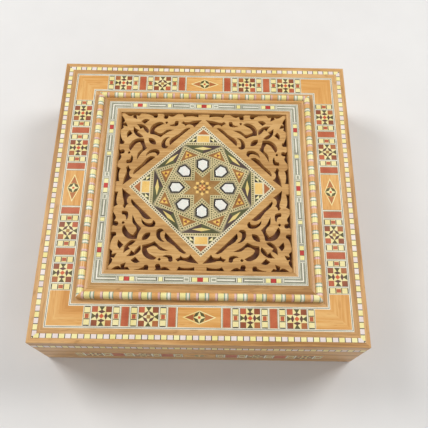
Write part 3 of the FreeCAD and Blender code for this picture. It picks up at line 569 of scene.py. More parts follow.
with edit(dressed(fret, "fret_walnut")):
    bpy.ops.mesh.remove_doubles(threshold=1e-7)
    bpy.ops.mesh.normals_make_consistent(inside=False)
bpy.ops.object.shade_smooth_by_angle(angle=math.radians(25))
hand_over(fret, "fret_wood", "fret_panel")
print("fret panel:", len(fret.data.polygons), "faces")

# %% [markdown]
# ## Slices of marquetry
# A slice shows straight-edged chips that fit without gaps. That is what bisecting gives: a plane is cut
# along the line of every chip's edge, each small face takes the finish of the chip that it lies in, and
# faces of one finish are joined again. The flat slice is then pulled down to its thickness. It is modelled
# in millimetres about its own middle, with its top at zero, and scaled to metres when it is laid.


# %% Outlines of chips
def block(x0, x1, y0, y1):
    """Corners of a rectangle."""
    return [(x0, y0), (x1, y0), (x1, y1), (x0, y1)]


def around(half_wide, half_high):
    """Corners of a rectangle about the middle."""
    return block(-half_wide, half_wide, -half_high, half_high)


def turned(corners, degrees):
    """The same corners, turned about the middle."""
    c, s = math.cos(math.radians(degrees)), math.sin(math.radians(degrees))
    return [(x * c - y * s, x * s + y * c) for x, y in corners]


def sides_of(corners):
    """Each side of an outline, as its two ends."""
    return zip(corners, corners[1:] + corners[:1])


def inside(x, y, corners):
    """Whether a point is in a polygon, by counting the edges that a ray to the right crosses."""
    odd = False
    for (ax, ay), (bx, by) in sides_of(corners):
        if (ay > y) != (by > y) and x < ax + (y - ay) * (bx - ax) / (by - ay):
            odd = not odd
    return odd


def saw_lines(chips):
    """Every different line that carries an edge of a chip, as a point and a normal."""
    lines = {}
    for _, corners in chips:
        for (ax, ay), (bx, by) in sides_of(corners):
            length = math.hypot(bx - ax, by - ay)
            nx, ny = (by - ay) / length, (ax - bx) / length
            if (nx, ny) < (0, 0):
                nx, ny = -nx, -ny
            key = (round(nx, 3), round(ny, 3), round(nx * ax + ny * ay, 3))
            lines[key] = ((ax, ay, 0), (nx, ny, 0))
    return lines.values()


print("outlines ready")

# %% Slices
SLICE_THICK = 1.5


def saw(piece, planes, **options):
    """Cut through all of a piece at planes, each a point and a normal."""
    with edit(piece):
        for point, normal in planes:
            bpy.ops.mesh.select_all(action="SELECT")
            bpy.ops.mesh.bisect(plane_co=point, plane_no=normal, **options)
    return piece


def trim(piece, *planes):
    """Saw a piece off at planes whose normals point at the waste, and close the cuts."""
    return saw(piece, planes, use_fill=True, clear_outer=True)


def flat_slice(width, height, chips, ground):
    """A flat slice of chips. Later chips lie over earlier ones, and the ground shows between them."""
    finishes = list(dict.fromkeys([ground, *[finish for finish, _ in chips]]))
    piece = dressed(made(bpy.ops.mesh.primitive_plane_add, size=1), *finishes)
    with edit(piece):
        bpy.ops.transform.resize(value=(width, height, 1))
    saw(piece, saw_lines(chips))
    for face in piece.data.polygons:
        found = [finish for finish, corners in chips if inside(face.center.x, face.center.y, corners)]
        face.material_index = finishes.index(found[-1] if found else ground)
    with edit(piece):
        bpy.ops.mesh.dissolve_limited(angle_limit=0.01, delimit={"MATERIAL"})
    return piece


def pulled(piece, height):
    """Pull a flat piece up, or down where the height is negative, and turn its faces outwards."""
    with edit(piece):
        bpy.ops.mesh.extrude_region_move(TRANSFORM_OT_translate={"value": (0, 0, height)})
        bpy.ops.mesh.select_all(action="SELECT")
        bpy.ops.mesh.normals_make_consistent(inside=False)
    return piece


print("slices are", SLICE_THICK, "mm thick")

# %% Laying slices
HALF, LID_TOP = 125.0, 65.0


def laid(name, *laying):
    """Copies of master pieces, each with its own mesh, laid in metres at their places and joined."""
    copies = []
    for master, places in laying:
        for spot in places:
            copy = bpy.data.objects.new(name, master.data.copy())
            scene.collection.objects.link(copy)
            copy.data.transform(Matrix.Scale(MM, 4) @ spot)
            copies.append(copy)
    for master in {master for master, _ in laying}:
        bpy.data.objects.remove(master)
    return joined(copies, name)


def inlay(node, slot, *laying):
    """Lay master slices and let the whole stand for a CAD node."""
    return hand_over(laid(node + "_inlaid", *laying), slot, node)


def turn(degrees, axis="Z"):
    """A turn, as a matrix."""
    return Matrix.Rotation(math.radians(degrees), 4, axis)


def on_top(u, r, z, side):
    """A place on the lid: u along a side, r out from the middle, at a height. Sides count from the front."""
    return turn(90 * side) @ shift(u, -r, z)


def on_side(u, z, side, stretch=1):
    """A place on a vertical side of the box, with the slice facing outwards."""
    return turn(90 * side) @ shift(u, -HALF, z) @ turn(90, "X") @ Matrix.Diagonal((stretch, 1, 1, 1))


def all_sides(place, *spot):
    """The same place on each of the four sides."""
    return [place(*spot, side) for side in range(4)]


print("the lid's top is at", LID_TOP, "mm")

# %% [markdown]
# ## Star tiles
# A star tile is nine cells: red, brown and rust squares in the corners, cream between them, and green points
# that run in from the four edges. Two patterns are mixed along the band. In one, a dark lens closes each
# point. In the other, four lenses stand on the diagonals and make a second, turned square.


# %% Star tiles
def four(finish, corners):
    """One chip on each of the four sides."""
    return [(finish, turned(corners, 90 * side)) for side in range(4)]


def star_tile(width, height, diagonal=False):
    """A star tile between white lines. Its chips are shares of half a tile, a, and of a middle cell, c."""
    a = min(width - 1.0, height - 0.4) / 2
    c = 0.41 * a
    edge, heart = width / 2, 0.46 * c
    chips = [("bone", around(edge, a)), ("slate", around(a + 0.25, a)), ("lemon", around(a, a))]
    for side, finish in enumerate(("maroon", "rose", "maroon", "rust")):
        chips.append((finish, turned(block(c, a, c, a), 90 * side)))
    chips += four("bottle_green", [(-0.72 * c, a), (0.72 * c, a), (0, 0.54 * a)])
    middle = around(heart, heart)
    if diagonal:
        chips += four("wine", [(0, 1.5 * c), (0.45 * c, 0.45 * c), (1.5 * c, 0), (1.0 * c, 1.0 * c)])
        chips.append(("honey", middle))
    else:
        chips += four("wine", [(-0.95 * c, 0.45 * a), (0, 0.28 * a), (0.95 * c, 0.45 * a), (0, 0.65 * a)])
        chips.append(("orange_red", turned(middle, 45)))
    return pulled(flat_slice(width, height, chips, "slate"), -SLICE_THICK)


print("star tiles ready")


# %% Dot, red and lozenge tiles
def lines_beside(edge, top):
    """The grey and straw lines inside the white edge of a tile."""
    return [("slate", around(edge - 0.35, top)), ("straw", around(edge - 0.65, top))]


def dot_tile(width, height):
    """A column of yellow, red and yellow squares between white lines."""
    edge, top = width / 2, height / 2
    inner, unit = edge - 0.95, height / 14.9
    chips = [("bone", around(edge, top)), *lines_beside(edge, top), ("ebony", around(inner, top)),
             ("lemon", around(inner, 1.9 * unit)), ("rose", around(0.72 * inner, 1.7 * unit))]
    for low, high in ((2.55, 6.6), (-6.6, -2.55)):
        chips.append(("lemon", block(-inner, inner, low * unit, high * unit)))
    return pulled(flat_slice(width, height, chips, "ebony"), -SLICE_THICK)


def red_tile(width, height):
    """A plain block of rose wood between white lines."""
    edge, top = width / 2, height / 2
    chips = [*lines_beside(edge, top), ("rose", around(edge - 0.9, top - 0.2))]
    return pulled(flat_slice(width, height, chips, "bone"), -SLICE_THICK)


def lozenge_panel(width, height):
    """Olive veneer with a cream lozenge line, two rust points and a small star."""
    edge, top = width / 2, height / 2
    star = [(4.5, 0), (3.0, 3.0), (0, 4.5), (-3.0, 3.0), (-4.5, 0), (-3.0, -3.0), (0, -4.5), (3.0, -3.0)]
    chips = [("bone", around(edge, top)), ("slate", around(edge - 0.4, top)),
             ("olive_veneer", around(edge - 0.7, top)),
             ("lemon", [(12.6, 0), (0, 5.2), (-12.6, 0), (0, -5.2)]),
             ("olive_veneer", [(11.0, 0), (0, 4.55), (-11.0, 0), (0, -4.55)])]
    for way in (-1, 1):
        chips.append(("rust", [(10.7 * way, 0), (4.4 * way, 2.3), (4.4 * way, -2.3)]))
    chips.append(("lemon", star))
    chips += four("bottle_green", [(0, 4.5), (1.25, 1.25), (4.5, 0), (3.0, 3.0)])
    chips.append(("orange_red", around(0.9, 0.9)))
    return pulled(flat_slice(width, height, chips, "bone"), -SLICE_THICK)


TILE_MAKERS = {"red": red_tile, "dots": dot_tile, "lozenge": lozenge_panel, "star": star_tile,
               "turned_star": partial(star_tile, diagonal=True)}
print("tile patterns:", ", ".join(TILE_MAKERS))

# %% [markdown]
# ## The band on the lid
# Along each side the band runs lozenge, red, dots, star, dots, red, dots, star, dots and corner, the same
# both ways from the middle. So each kind of cell is modelled once, its places are counted off from the
# middle, and copies go there. Plain olive veneer, mitred, fills the corners.


# %% Tile band on the lid
def cells(sizes, *kinds):
    """Cells (kind, start, end) along a side: a lozenge in the middle, then these kinds each way."""
    start = sizes["lozenge"] / 2
    run = [("lozenge", -start, start)]
    for kind in kinds:
        end = start + sizes[kind]
        run += [(kind, start, end), (kind, -end, -start)]
        start = end
    return run


def tiles(spots, sizes, height, kinds):
    """Master tiles of these kinds, each with the places where it is laid."""
    return [(TILE_MAKERS[kind](sizes[kind.removeprefix("turned_")], height), spots[kind])
            for kind in kinds if kind in spots]


GROUP = ("red", "dots", "star", "dots")
TILE_OUT, TILE_IN = 112.2, 97.3
BAND_R, NEAR_MIDDLE = (TILE_OUT + TILE_IN) / 2, 50
TOP_SIZES = {"red": 7.2, "dots": 5.85, "lozenge": 33.2, "star": 15.7}
TURNED_STARS = [(0, -1), (1, -1), (1, 1), (2, 1), (3, 1)]     # the side, and the way from its middle
TOP_NODES = {"lid_red_tiles": ["red"], "lid_dot_tiles": ["dots"], "lid_lozenge_panels": ["lozenge"],
             "lid_star_tiles": ["turned_star", "star"]}
top_spots = {}
for side in range(4):
    for kind, start, end in cells(TOP_SIZES, *GROUP, *GROUP):
        middle = (start + end) / 2
        if kind == "star" and abs(middle) < NEAR_MIDDLE and (side, math.copysign(1, middle)) in TURNED_STARS:
            kind = "turned_star"
        top_spots.setdefault(kind, []).append(on_top(middle, BAND_R, LID_TOP, side))
for node, kinds in TOP_NODES.items():
    slot = "golden_veneer" if "lozenge" in kinds else "tile_mosaic"
    inlay(node, slot, *tiles(top_spots, TOP_SIZES, TILE_OUT - TILE_IN, kinds))
    print(node, sum(len(top_spots[kind]) for kind in kinds), "tiles")


# %% Corner veneers
def chip(corners, finish, high=0.0, low=-0.5):
    """One sawn chip: a flat polygon pulled up into a thin prism."""
    area = sum(ax * by - bx * ay for (ax, ay), (bx, by) in sides_of(corners))
    corners = corners if area > 0 else corners[::-1]
    piece = made(bpy.ops.mesh.primitive_circle_add, vertices=len(corners), fill_type="NGON")
    dressed(piece, finish)
    for vertex, (x, y) in zip(piece.data.vertices, corners):
        vertex.co = (x, y, low)
    return pulled(piece, high - low)


BAND_END = 85.8
pair = [chip([(way * BAND_END, -TILE_IN), (way * TILE_IN, -TILE_IN), (way * TILE_OUT, -TILE_OUT),
              (way * BAND_END, -TILE_OUT)], "olive_veneer", low=-SLICE_THICK) for way in (-1, 1)]
corners = inlay("lid_band_corners", "golden_veneer", (joined(pair), all_sides(on_top, 0, 0, LID_TOP)))
print("corner veneers:", len(corners.data.polygons), "faces")

# %% [markdown]
# ## Stringing and bead rows
# The lines beside the band are three veneers glued side by side: bone, grey and bone. The bead rows are
# slices too, of square sticks in turn white and yellow, with a dark veneer between them. One repeat is
# modelled and an Array makes the row. Every row is mitred at the corners of the box by two slanting cuts.


# %% Stringing and bead rows
def applied(piece, kind, **settings):
    """Give a piece a modifier with these settings, and apply it."""
    only(piece)
    modifier = piece.modifiers.new(kind.lower(), kind)
    for name, value in settings.items():
        setattr(modifier, name, value)
    bpy.ops.object.modifier_apply(modifier=modifier.name)


def row(unit, step, length):
    """Repeat a flat slice along X, centred, over at least this length."""
    count = math.ceil(length / step) | 1
    applied(unit, "ARRAY", count=count, use_relative_offset=False, use_constant_offset=True,
            constant_offset_displace=(step, 0, 0), use_merge_vertices=True, merge_threshold=0.001)
    unit.data.transform(shift(-(count - 1) * step / 2, 0, 0))
    return unit


def mitred(piece, r):
    """Cut both ends at 45 degrees, for a piece laid flat with its middle line at distance r."""
    return trim(piece, ((r, 0, 0), (1, 1, 0)), ((-r, 0, 0), (-1, 1, 0)))


STRING_RS, STRING_WIDE, GREY_HALF, PAST_MITRE = (113.0, 96.5), 1.6, 0.24, 3
BEAD_R, BEAD_PITCH, BEAD_GAP, BEAD_HIGH, BEAD_RUN = 119.7, 4.63, 0.3, 3.2, 244
RIM_Z, RIM_HIGH, RIM_RUN = 50.5, 5.5, 252


def bead_row(height, length):
    """White and yellow sticks in turn, with dark veneers between them."""
    chips = [("pink_shell", block(BEAD_GAP - BEAD_PITCH, -BEAD_GAP, -height / 2, height / 2)),
             ("yellow", block(BEAD_GAP, BEAD_PITCH - BEAD_GAP, -height / 2, height / 2))]
    unit = flat_slice(2 * BEAD_PITCH, height, chips, "ebony")
    return pulled(row(unit, 2 * BEAD_PITCH, length), -SLICE_THICK)


strings = []
for r in STRING_RS:
    reach = r + PAST_MITRE
    line = flat_slice(2 * reach, STRING_WIDE, [("slate", around(reach, GREY_HALF))], "bone")
    strings.append((mitred(pulled(line, -SLICE_THICK), r), all_sides(on_top, 0, r, LID_TOP)))
inlay("lid_stringing", "line_mosaic", *strings)

beads = mitred(bead_row(BEAD_HIGH, BEAD_RUN), BEAD_R)
beads = inlay("lid_bead_border", "bead_mosaic", (beads, all_sides(on_top, 0, BEAD_R, LID_TOP)))
rim = trim(bead_row(RIM_HIGH, RIM_RUN), ((HALF, 0, 0), (1, 0, -1)), ((-HALF, 0, 0), (-1, 0, -1)))
rim = inlay("lid_rim_beads", "bead_mosaic", (rim, all_sides(on_side, 0, RIM_Z)))
print("bead rows:", len(beads.data.polygons), "and", len(rim.data.polygons), "faces")

# %% [markdown]
# ## Marquetry on the base
# The trim strips of the base carry the same cells, a little lower. The front strip parts beside its middle
# panel, where the left part slides, and the right-hand strip parts at the same place. A cell that meets a
# parting is a hair narrower there, so its copy is squeezed to fit.

# %% Marquetry on the base
SIDE_HIGH, SIDE_MIDDLE, TURNED_WITHIN = 13.5, 18.75, 60
SIDE_SIZES = {"red": 11.0, "dots": 6.25, "lozenge": 27.5, "star": 15.5}
PARTS = {"front_slide": (0, -HALF, 13.75), "front_fixed": (0, 13.95, HALF), "right_slide": (1, 13.75, HALF),
         "right_fixed": (1, -HALF, 13.55), "back": (2, -HALF, HALF), "left": (3, -HALF, HALF)}
for part, (side, low, high) in PARTS.items():
    spots = {}
    for kind, start, end in cells(SIDE_SIZES, "dots", *GROUP, *GROUP):
        size = SIDE_SIZES[kind]
        if kind == "star" and abs(start + end) / 2 < TURNED_WITHIN:
            kind = "turned_star"
        start, end = max(start, low), min(end, high)
        if end > start:
            spot = on_side((start + end) / 2, SIDE_MIDDLE, side, (end - start) / size)
            spots.setdefault(kind, []).append(spot)
    inlay(part + "_mosaic", "tile_mosaic", *tiles(spots, SIDE_SIZES, SIDE_HIGH, TILE_MAKERS))
    print(part, sum(len(places) for places in spots.values()), "cells")

# %% [markdown]
# ## Line inlay on the frame
# The flat of the frame holds a wider inlay: grey and white lines along both edges, and a white line down the
# middle that is broken by small groups of yellow, red and yellow. The list below runs from the middle of a
# side to its corner, and is mirrored. The white line turns the corner because the ends are mitred.

# %% Line inlay on the frame
LINE_R, LINE_Z, LINE_WIDE, LINE_THICK = 77.5, 70.5, 7.0, 1.2
GROUPS = [(0, 2.2, "scarlet"), (2.2, 6.2, "yellow"), (6.2, 6.8, "ebony"), (6.8, 7.5, "bone"),
          (8.2, 12.2, "bone"), (8.7, 11.7, "grey_green"),
          (26.4, 27.0, "ebony"), (27.0, 27.6, "bone"), (27.6, 28.1, "ebony"), (28.1, 31.1, "yellow"),
          (31.1, 31.6, "ebony"), (31.6, 32.2, "bone"), (32.2, 32.8, "ebony"),
          (47.2, 47.8, "bone"), (47.8, 48.3, "ebony"), (48.3, 48.9, "bone"), (48.9, 49.3, "ebony"),
          (49.3, 52.8, "yellow"), (52.8, 53.1, "ebony"), (53.1, 56.9, "scarlet"), (56.9, 57.2, "ebony"),
          (57.2, 60.7, "yellow"), (60.7, 61.1, "ebony"), (61.1, 61.7, "bone"), (61.7, 62.2, "ebony"),
          (62.2, 62.8, "bone")]
LINES = [(12.8, 26.0), (33.2, 46.8), (63.2, 84.0)]
LONG_LINES = [("bone", 3.5), ("slate", 3.05), ("bone", 2.6), ("grey_green", 2.15)]     # half widths in mm
MIDDLE_LINES, LINE_PAST = [("ebony", 0.95), ("bone", 0.6)], 6
reach = LINE_R + LINE_PAST
chips = [(finish, around(reach, half)) for finish, half in LONG_LINES]
for way in (-1, 1):
    for start, end in LINES:
        for finish, half in MIDDLE_LINES:
            chips.append((finish, block(way * start, way * end, -half, half)))
    for start, end, finish in GROUPS:
        high = 1.6 if finish != "grey_green" else 0.9
        chips.append((finish, block(way * start, way * end, -high, high)))
lines = mitred(pulled(flat_slice(2 * reach, LINE_WIDE, chips, "bone"), -LINE_THICK), LINE_R)
lines = inlay("frame_line_inlay", "line_mosaic", (lines, all_sides(on_top, 0, LINE_R, LINE_Z)))
print("line inlay:", len(lines.data.polygons), "faces")

# %% [markdown]
# ## The coloured bead round the frame
# At the frame's foot lies a half-round moulding glued up from blocks of orange, yellow, lilac and white
# with thin dark veneers. A flat row of blocks is cut lengthwise into narrow strips, its points are lifted
# onto a half circle, and the row is pulled down to a flat base.

# %% Coloured bead
COLOUR_R, COLOUR_Z, COLOUR_HALF, COLOUR_RUN, STRIPS = 89.5, 67.5, 2.5, 186, 12
BLOCKS = [("orange", 4.4), ("lilac", 1.7), ("plum", 0.4), ("yellow", 4.3), ("sage", 0.9), ("bone", 1.7),
          ("sage", 0.8)]
UNIT = sum(width for _, width in BLOCKS)
start, chips = -UNIT / 2, []
for finish, width in BLOCKS:
    chips.append((finish, block(start, start + width, -COLOUR_HALF, COLOUR_HALF)))
    start += width
bead = row(flat_slice(UNIT, 2 * COLOUR_HALF, chips, "orange"), UNIT, COLOUR_RUN)
across = [-COLOUR_HALF * math.cos(math.pi * step / STRIPS) for step in range(1, STRIPS)]
saw(bead, [((0, y, 0), (0, 1, 0)) for y in across])
for vertex in bead.data.vertices:
    vertex.co.z = math.sqrt(max(0.0, COLOUR_HALF ** 2 - vertex.co.y ** 2))
with edit(bead):
    bpy.ops.mesh.extrude_region_move(TRANSFORM_OT_translate={"value": (0, 0, -6)})     # then flattened
    bpy.ops.transform.resize(value=(1, 1, 0), center_override=(0, 0, -COLOUR_HALF))
    bpy.ops.mesh.select_all(action="SELECT")
    bpy.ops.mesh.normals_make_consistent(inside=False)
places = all_sides(on_top, 0, COLOUR_R, COLOUR_Z)
bead = only(laid("frame_colour_bead_glued", (mitred(bead, COLOUR_R), places)))
bpy.ops.object.shade_smooth_by_angle(angle=math.radians(25))
hand_over(bead, "bead_mosaic", "frame_colour_bead")
print("coloured bead:", len(bead.data.polygons), "faces")

# %% [markdown]
# ## The rosette
# The rosette is a strapwork star. Two large squares, turned by 45 degrees, make its eight tips. Eight pairs
# of straps run in from them and meet in a V behind each piece of shell, and what they leave in the middle is
# the brown star. Everything comes eight times or four times round, so each motif is modelled once on the
# x axis and spread round by turned copies. Pieces that cross lie a few hundredths of a millimetre apart.

# %% Helpers for the rosette
ROSETTE_TOP, DOT = 69.0, 0.95


def spread(name, master, count, first=0.0, lift=0.0):
    """Copies of a master turned round the middle of the lid."""
    spots = [turn(first + 360 * step / count) @ shift(0, 0, ROSETTE_TOP + lift) for step in range(count)]
    return laid(name, (master, spots))


def strap(length, width, thick=0.5, pale="straw", dark="green"):
    """A dotted strap along X: pale lines at its edges, and a row of pale and dark squares between them."""
    count = round(length / DOT) | 1
    piece = made(bpy.ops.mesh.primitive_grid_add, x_subdivisions=count, y_subdivisions=3, size=1)
    dressed(piece, pale, dark)
    for vertex in piece.data.vertices:
        across = vertex.co.y if abs(vertex.co.y) > 0.4 else math.copysign(0.25, vertex.co.y)
        vertex.co = (vertex.co.x * length, across * width, 0)
    for face in piece.data.polygons:
        if abs(face.center.y) < 0.1 * width:
            face.material_index = round((face.center.x / length + 0.5) * count - 0.5) % 2
    return pulled(piece, -thick)


print("a strap's dots are", DOT, "mm long")

# %% Straps and ground of the rosette
STRAP, SQUARE_R, ARM_R, ARM = 2.7, 27.7, 7.9, 21.5
BAR, BAR_WIDE, BAR_R, BAR_CUT = 32, 2.4, 40.8, 14.66
TIP = 55.46
ground = chip([(TIP, 0), (0, TIP), (-TIP, 0), (0, -TIP)], "fine_ground", low=-SLICE_THICK)
pieces = [laid("ground", (ground, [shift(0, 0, ROSETTE_TOP - 0.05)]))]

for first, lift in ((22.5, 0.06), (-22.5, 0.08)):
    side_strap = mitred(strap(2 * SQUARE_R + 2 * STRAP, STRAP), SQUARE_R)
    side_strap.data.transform(shift(0, -SQUARE_R, 0))
    pieces.append(spread("square", side_strap, 4, first, lift))

for way, lift in ((1, 0.02), (-1, 0.04)):
    foot = (ARM - STRAP) / 2
    arm = trim(strap(ARM, STRAP), ((-foot, 0, 0), (-1, -way, 0)))
    arm.data.transform(shift(ARM_R * math.sqrt(2), 0, 0) @ turn(45 * way) @ shift(foot, 0, 0))
    pieces.append(spread("arms", arm, 8, 0, lift))

bar = trim(strap(BAR, BAR_WIDE), ((BAR_CUT, 0, 0), (1, -1, 0)), ((-BAR_CUT, 0, 0), (-1, -1, 0)))
bar.data.transform(shift(0, -BAR_R, 0))
pieces.append(spread("bars", bar, 4, 0, 0.05))
print("straps:", sum(len(piece.data.polygons) for piece in pieces), "faces")


# %% Dark points, yellow rhombs and the four outer corners
def midway(corners):
    """The middle of each side of an outline."""
    return [((ax + bx) / 2, (ay + by) / 2) for (ax, ay), (bx, by) in sides_of(corners)]


points = [chip([(31.4, 0), (39.4, 0), (39.4, 15.6)], "green"),
          chip([(31.4, 0), (39.4, 0), (39.4, -15.6)], "plum"),
          chip([(37.9, 0), (36.4, 7.4), (34.9, 0), (36.4, -7.4)], "corn", 0.02)]
pieces.append(spread("points", joined(points), 8))

ends = [chip([(42.0, -13.4), (55.4, 0), (42.0, 13.4)], "ivory"),
        chip(block(42.6, 48.6, -5.0, 5.0), "amber", 0.02),
        chip([(50.0, -4.9), (54.9, 0), (50.0, 4.9)], "rust", 0.02)]
for way in (-1, 1):
    low, knee, tip = outer = [(42.5, 5.7 * way), (48.9, 5.7 * way), (42.5, 12.3 * way)]
    half = midway(outer)
    ends += [chip(half, "lemon", 0.02), chip([low, half[0], half[2]], "ebony", 0.02),
             chip([half[0], knee, half[1]], "green", 0.02), chip([half[2], half[1], tip], "green", 0.02)]
pieces.append(spread("ends", joined(ends), 4))
hand_over(joined(pieces, "medallion_ground_inlaid"), "strap_mosaic", "medallion_ground")

BORDER_R, BORDER, BORDER_WIDE = 40.47, 86, 2.5
border = mitred(strap(BORDER, BORDER_WIDE, SLICE_THICK, "ivory", "ebony"), BORDER_R)
border.data.transform(shift(0, -BORDER_R, 0))
border = spread("medallion_border_inlaid", border, 4, 45, 0.03)
hand_over(border, "strap_mosaic", "medallion_border")
print("border of the diamond:", len(border.data.polygons), "faces")

# %% [markdown]
# ## Shell, star and kites
# Each piece of shell sits in a dark frame with its point to the middle. An inset of the frame's top face
# makes the rim, and the face inside it becomes the shell, lifted by a hair and rounded as it is when it is
# polished. The star carries a cluster of eight gold squares round a small check. Each kite holds three gold
# triangles round a dark one.

# %% Shell
SHELL_RIM, SHELL_ROUND, SHELL_LIFT = 1.35, 0.3, 0.14
shell = chip([(13.9, 0), (18.0, -5.0), (25.2, -5.0), (27.2, 0), (25.2, 5.0), (18.0, 5.0)], "ebony")
dressed(shell, "ebony", "mother_of_pearl")
top = max(shell.data.polygons, key=lambda face: face.center.z)
pick(shell, "polygons", [top.index])
bpy.ops.mesh.inset(thickness=SHELL_RIM)
shell.active_material_index = 1
bpy.ops.object.material_slot_assign()
bpy.ops.mesh.inset(thickness=SHELL_ROUND, depth=SHELL_LIFT)
bpy.ops.object.mode_set(mode="OBJECT")
shells = spread("medallion_pearls_inlaid", shell, 8, 0, 0.02)
hand_over(shells, "mother_of_pearl", "medallion_pearls")
print("shell:", len(shells.data.polygons), "faces")

# %% Star and kites
STAR_TIP, STAR_NOTCH, DOT_R, SQUARE_AT, CHECK = 16.2, 8.9, 4.1, 5.6, 1.5
outline = []
for step in range(16):
    r = STAR_TIP if step % 2 else STAR_NOTCH
    outline.append((r * math.cos(math.pi * step / 8), r * math.sin(math.pi * step / 8)))
parts = [chip(outline, "honey")]
for step in range(8):
    dot = [(x + DOT_R, y) for x, y in around(0.45, 0.45)]
    parts.append(chip(turned(dot, 22.5 + 45 * step), "ebony", 0.02))
    square = [(x + SQUARE_AT, y) for x, y in turned(around(1.15, 1.15), 45)]
    parts.append(chip(turned(square, 45 * step), "amber", 0.04))
for column in (-1, 0, 1):
    for line in (-1, 0, 1):
        x, y = CHECK * column, CHECK * line
        finish = "rose" if (column + line) % 2 else "amber"
        parts.append(chip(block(x - CHECK / 2, x + CHECK / 2, y - CHECK / 2, y + CHECK / 2), finish, 0.04))
star = inlay("medallion_star", "star_wood", (joined(parts), [shift(0, 0, ROSETTE_TOP)]))

tips = [(36.0, 0), (30.6, -3.3), (30.6, 3.3)]
half = midway(tips)
parts = [chip([(29.0, -7.9), (37.2, 0), (29.0, 7.9)], "brown"), chip(half, "maroon", 0.03)]
for index in range(3):
    parts.append(chip([tips[index], half[index], half[index - 1]], "gold", 0.03))
kites = spread("medallion_kites_inlaid", joined(parts), 8, 22.5)
hand_over(kites, "star_wood", "medallion_kites")
print("star and kites:", len(star.data.polygons), "and", len(kites.data.polygons), "faces")

# %% [markdown]
# ## Velvet linings
# A square of velvet is glued to the bottom of the box and another under the lid. Glued cloth is almost flat,
# but it swells a little between the spots where the glue took, and its cut edge is rounded by the pile. A
# grid gives enough points for that: low waves are set on its top, away from the edge, and a Solidify and a
# Bevel give it thickness and a soft border.


# %% Velvet linings
def rounded(piece, ease, sharp=40):
    """Break the edges that are sharper than this many degrees, and shade the rest smooth."""
    applied(piece, "BEVEL", limit_method="ANGLE", angle_limit=math.radians(sharp), width=ease, segments=2)
    bpy.ops.object.shade_smooth_by_angle(angle=math.radians(sharp))
    return piece


CLOTH, SWELL, BORDER_EASE, CLOTH_GAP, CUT_BACK, FLAT_EDGE = 0.9, 0.09, 0.35, 1.05, 0.2, 12     # mm


def lining(node, way):
    """A sheet of velvet over a CAD lining, with its pile up (way 1) or down (way -1)."""
    low, high = (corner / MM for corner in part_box(node))
    half = high.x - CUT_BACK
    piece = made(bpy.ops.mesh.primitive_grid_add, x_subdivisions=72, y_subdivisions=72, size=2 * half)
    for vertex in dressed(piece, "red_velvet").data.vertices:
        x, y, _ = vertex.co
        margin = min(1.0, (half - max(abs(x), abs(y))) / FLAT_EDGE)
        # Waves of three lengths, so that none shows as a pattern.
        wave = math.sin(x / 17 + 0.7) * math.sin(y / 23 + 1.1) + 0.6 * math.sin((x + y) / 11)
        vertex.co.z = SWELL * wave * margin
    applied(piece, "SOLIDIFY", thickness=CLOTH, offset=-1)
    rounded(piece, BORDER_EASE, sharp=60)
    spot = shift(0, 0, low.z + CLOTH_GAP) if way > 0 else shift(0, 0, high.z - CLOTH_GAP) @ turn(180, "X")
    piece = hand_over(laid(node + "_velvet", (piece, [spot])), "velvet", node)
    print(node, len(piece.data.polygons), "faces")


lining("base_lining", 1)
lining("lid_lining", -1)

# %% [markdown]
# ## Hinges and lock
# The hinge leaves, the lock case, its cap, the bolt and the link plate are sheet brass. Their CAD shapes are
# right, so they only need their edges broken and a brushed finish. The screws are turned again with round
# heads: a cone for the countersunk head, two cuts for the slot, and the strip between the cuts pushed down.

# %% Hinges and lock
BRASS = ("hinge_left_base_leaf", "hinge_right_base_leaf", "hinge_left_lid_leaf", "hinge_right_lid_leaf",
         "lock_case", "lock_cap", "lock_bolt", "lock_link_plate", "keyhole_escutcheon", "hinge_pins")
for node in BRASS:
    eased(node, "brushed_brass", "brass", ease=0.1, shortest=1.0)
print(len(BRASS), "brass nodes eased")

# %% Screws
SHANK_R, HEAD_R, HEAD, SHANK, SHANK_MIDDLE = 0.78, 1.58, 0.9, 5.0, -3.4
SLOT_HALF, SLOT_DEEP = 0.22, 0.35


def slotted_screw():
    """A countersunk screw that points down, with its head's top at zero."""
    head = shaped(bpy.ops.mesh.primitive_cone_add, vertices=24, radius1=SHANK_R, radius2=HEAD_R, depth=HEAD,
                  location=(0, 0, -HEAD / 2))
    saw(head, [((edge, 0, 0), (1, 0, 0)) for edge in (-SLOT_HALF, SLOT_HALF)])
    pick(head, "polygons", [face.index for face in head.data.polygons
                            if face.normal.z > 0.9 and abs(face.center.x) < SLOT_HALF - 0.02])
    bpy.ops.mesh.extrude_region_move(TRANSFORM_OT_translate={"value": (0, 0, -SLOT_DEEP)})
    bpy.ops.object.mode_set(mode="OBJECT")
    shank = shaped(bpy.ops.mesh.primitive_cylinder_add, vertices=16, radius=SHANK_R, depth=SHANK,
                   location=(0, 0, SHANK_MIDDLE))
    return dressed(joined([head, shank]), "brushed_brass")


HINGE_SPOTS = [(x + step, 115.25) for x in (-70, 70) for step in (-9, 9)]
BASE_SPOTS, BASE_SEAT = HINGE_SPOTS + [(-26, -113), (26, -113)], 40.35
LID_SPOTS, LID_SEAT = HINGE_SPOTS + [(-12, -115.1), (12, -115.1)], 40.65
# Slots stop at all angles, so a screw's place in mm serves as its turn in radians.
base_spots = [shift(x, y, BASE_SEAT) @ Matrix.Rotation(x, 4, "Z") for x, y in BASE_SPOTS]
lid_spots = [shift(x, y, LID_SEAT) @ Matrix.Rotation(x, 4, "Z") @ turn(180, "X") for x, y in LID_SPOTS]
for node, spots in (("base_hardware_screws", base_spots), ("lid_hardware_screws", lid_spots)):
    screws = hand_over(laid(node + "_turned", (slotted_screw(), spots)), "brass", node)
    print(node, len(spots), "screws,", len(screws.data.polygons), "faces")

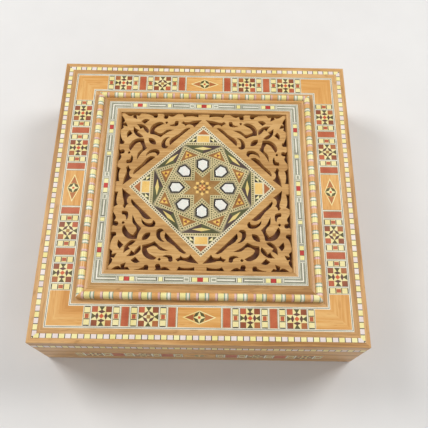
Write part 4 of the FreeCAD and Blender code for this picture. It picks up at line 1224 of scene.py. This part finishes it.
# %% [markdown]
# ## Key and stop pegs
# The key lies in a pocket behind the right-hand slide. A ring makes its bow, a rod with two collars its
# shank, and three small plates, the middle one shorter, its bit. The wooden pegs that stop the slides are
# short dowels with a chamfer.


# %% Key and pegs
def turned_rod(radius, start, end, vertices=32, ease=0.2):
    """A rod along Y with broken ends."""
    rod = shaped(bpy.ops.mesh.primitive_cylinder_add, vertices=vertices, radius=radius, depth=end - start,
                 location=(0, (start + end) / 2, 0), rotation=(math.radians(90), 0, 0))
    return rounded(rod, ease)


BOW, BOW_R, BOW_HALF = 21.75, 4.15, 1.1
KEY_X, KEY_R, COLLAR_R, KEY_END, PEG_R, PEG = 117.3, 1.5, 1.75, 56.0, 1.5, 6.0
COLLARS = [(5.6, 7.0), (8.0, 8.8)]     # from the middle of the bow
BITS = [(-4.0, 50.05, 51.8), (-2.6, 51.6, 53.4), (-4.0, 53.2, 55.05)]     # lower end, start and end along Y
BIT_TOP, BIT_THICK = -0.6, 1.5
ring = shaped(bpy.ops.mesh.primitive_torus_add, major_segments=40, minor_segments=14, major_radius=BOW_R,
              minor_radius=BOW_HALF, location=(0, BOW, 0), rotation=(0, math.radians(90), 0))
bpy.ops.object.shade_smooth()
key_parts = [ring, turned_rod(KEY_R, BOW + 3.6, KEY_END)]
key_parts += [turned_rod(COLLAR_R, BOW + start, BOW + end) for start, end in COLLARS]
for low, start, end in BITS:
    bit = shaped(bpy.ops.mesh.primitive_cube_add, size=1, scale=(BIT_THICK, end - start, BIT_TOP - low),
                 location=(0, (start + end) / 2, (low + BIT_TOP) / 2))
    key_parts.append(rounded(bit, 0.12))
key = dressed(joined(key_parts), "brushed_brass")
key = hand_over(laid("key_cast", (key, [shift(KEY_X, 0, SIDE_MIDDLE)])), "brass", "key")

peg = dressed(turned_rod(PEG_R, 0, PEG, vertices=24, ease=0.25), "plain_plywood")
peg_spots = [shift(-60, -122, SIDE_MIDDLE), shift(122, 95, SIDE_MIDDLE) @ turn(90)]
pegs = hand_over(laid("slide_stop_pegs_turned", (peg, peg_spots)), "box_wood", "slide_stop_pegs")
print("key:", len(key.data.polygons), "faces; pegs:", len(pegs.data.polygons), "faces")
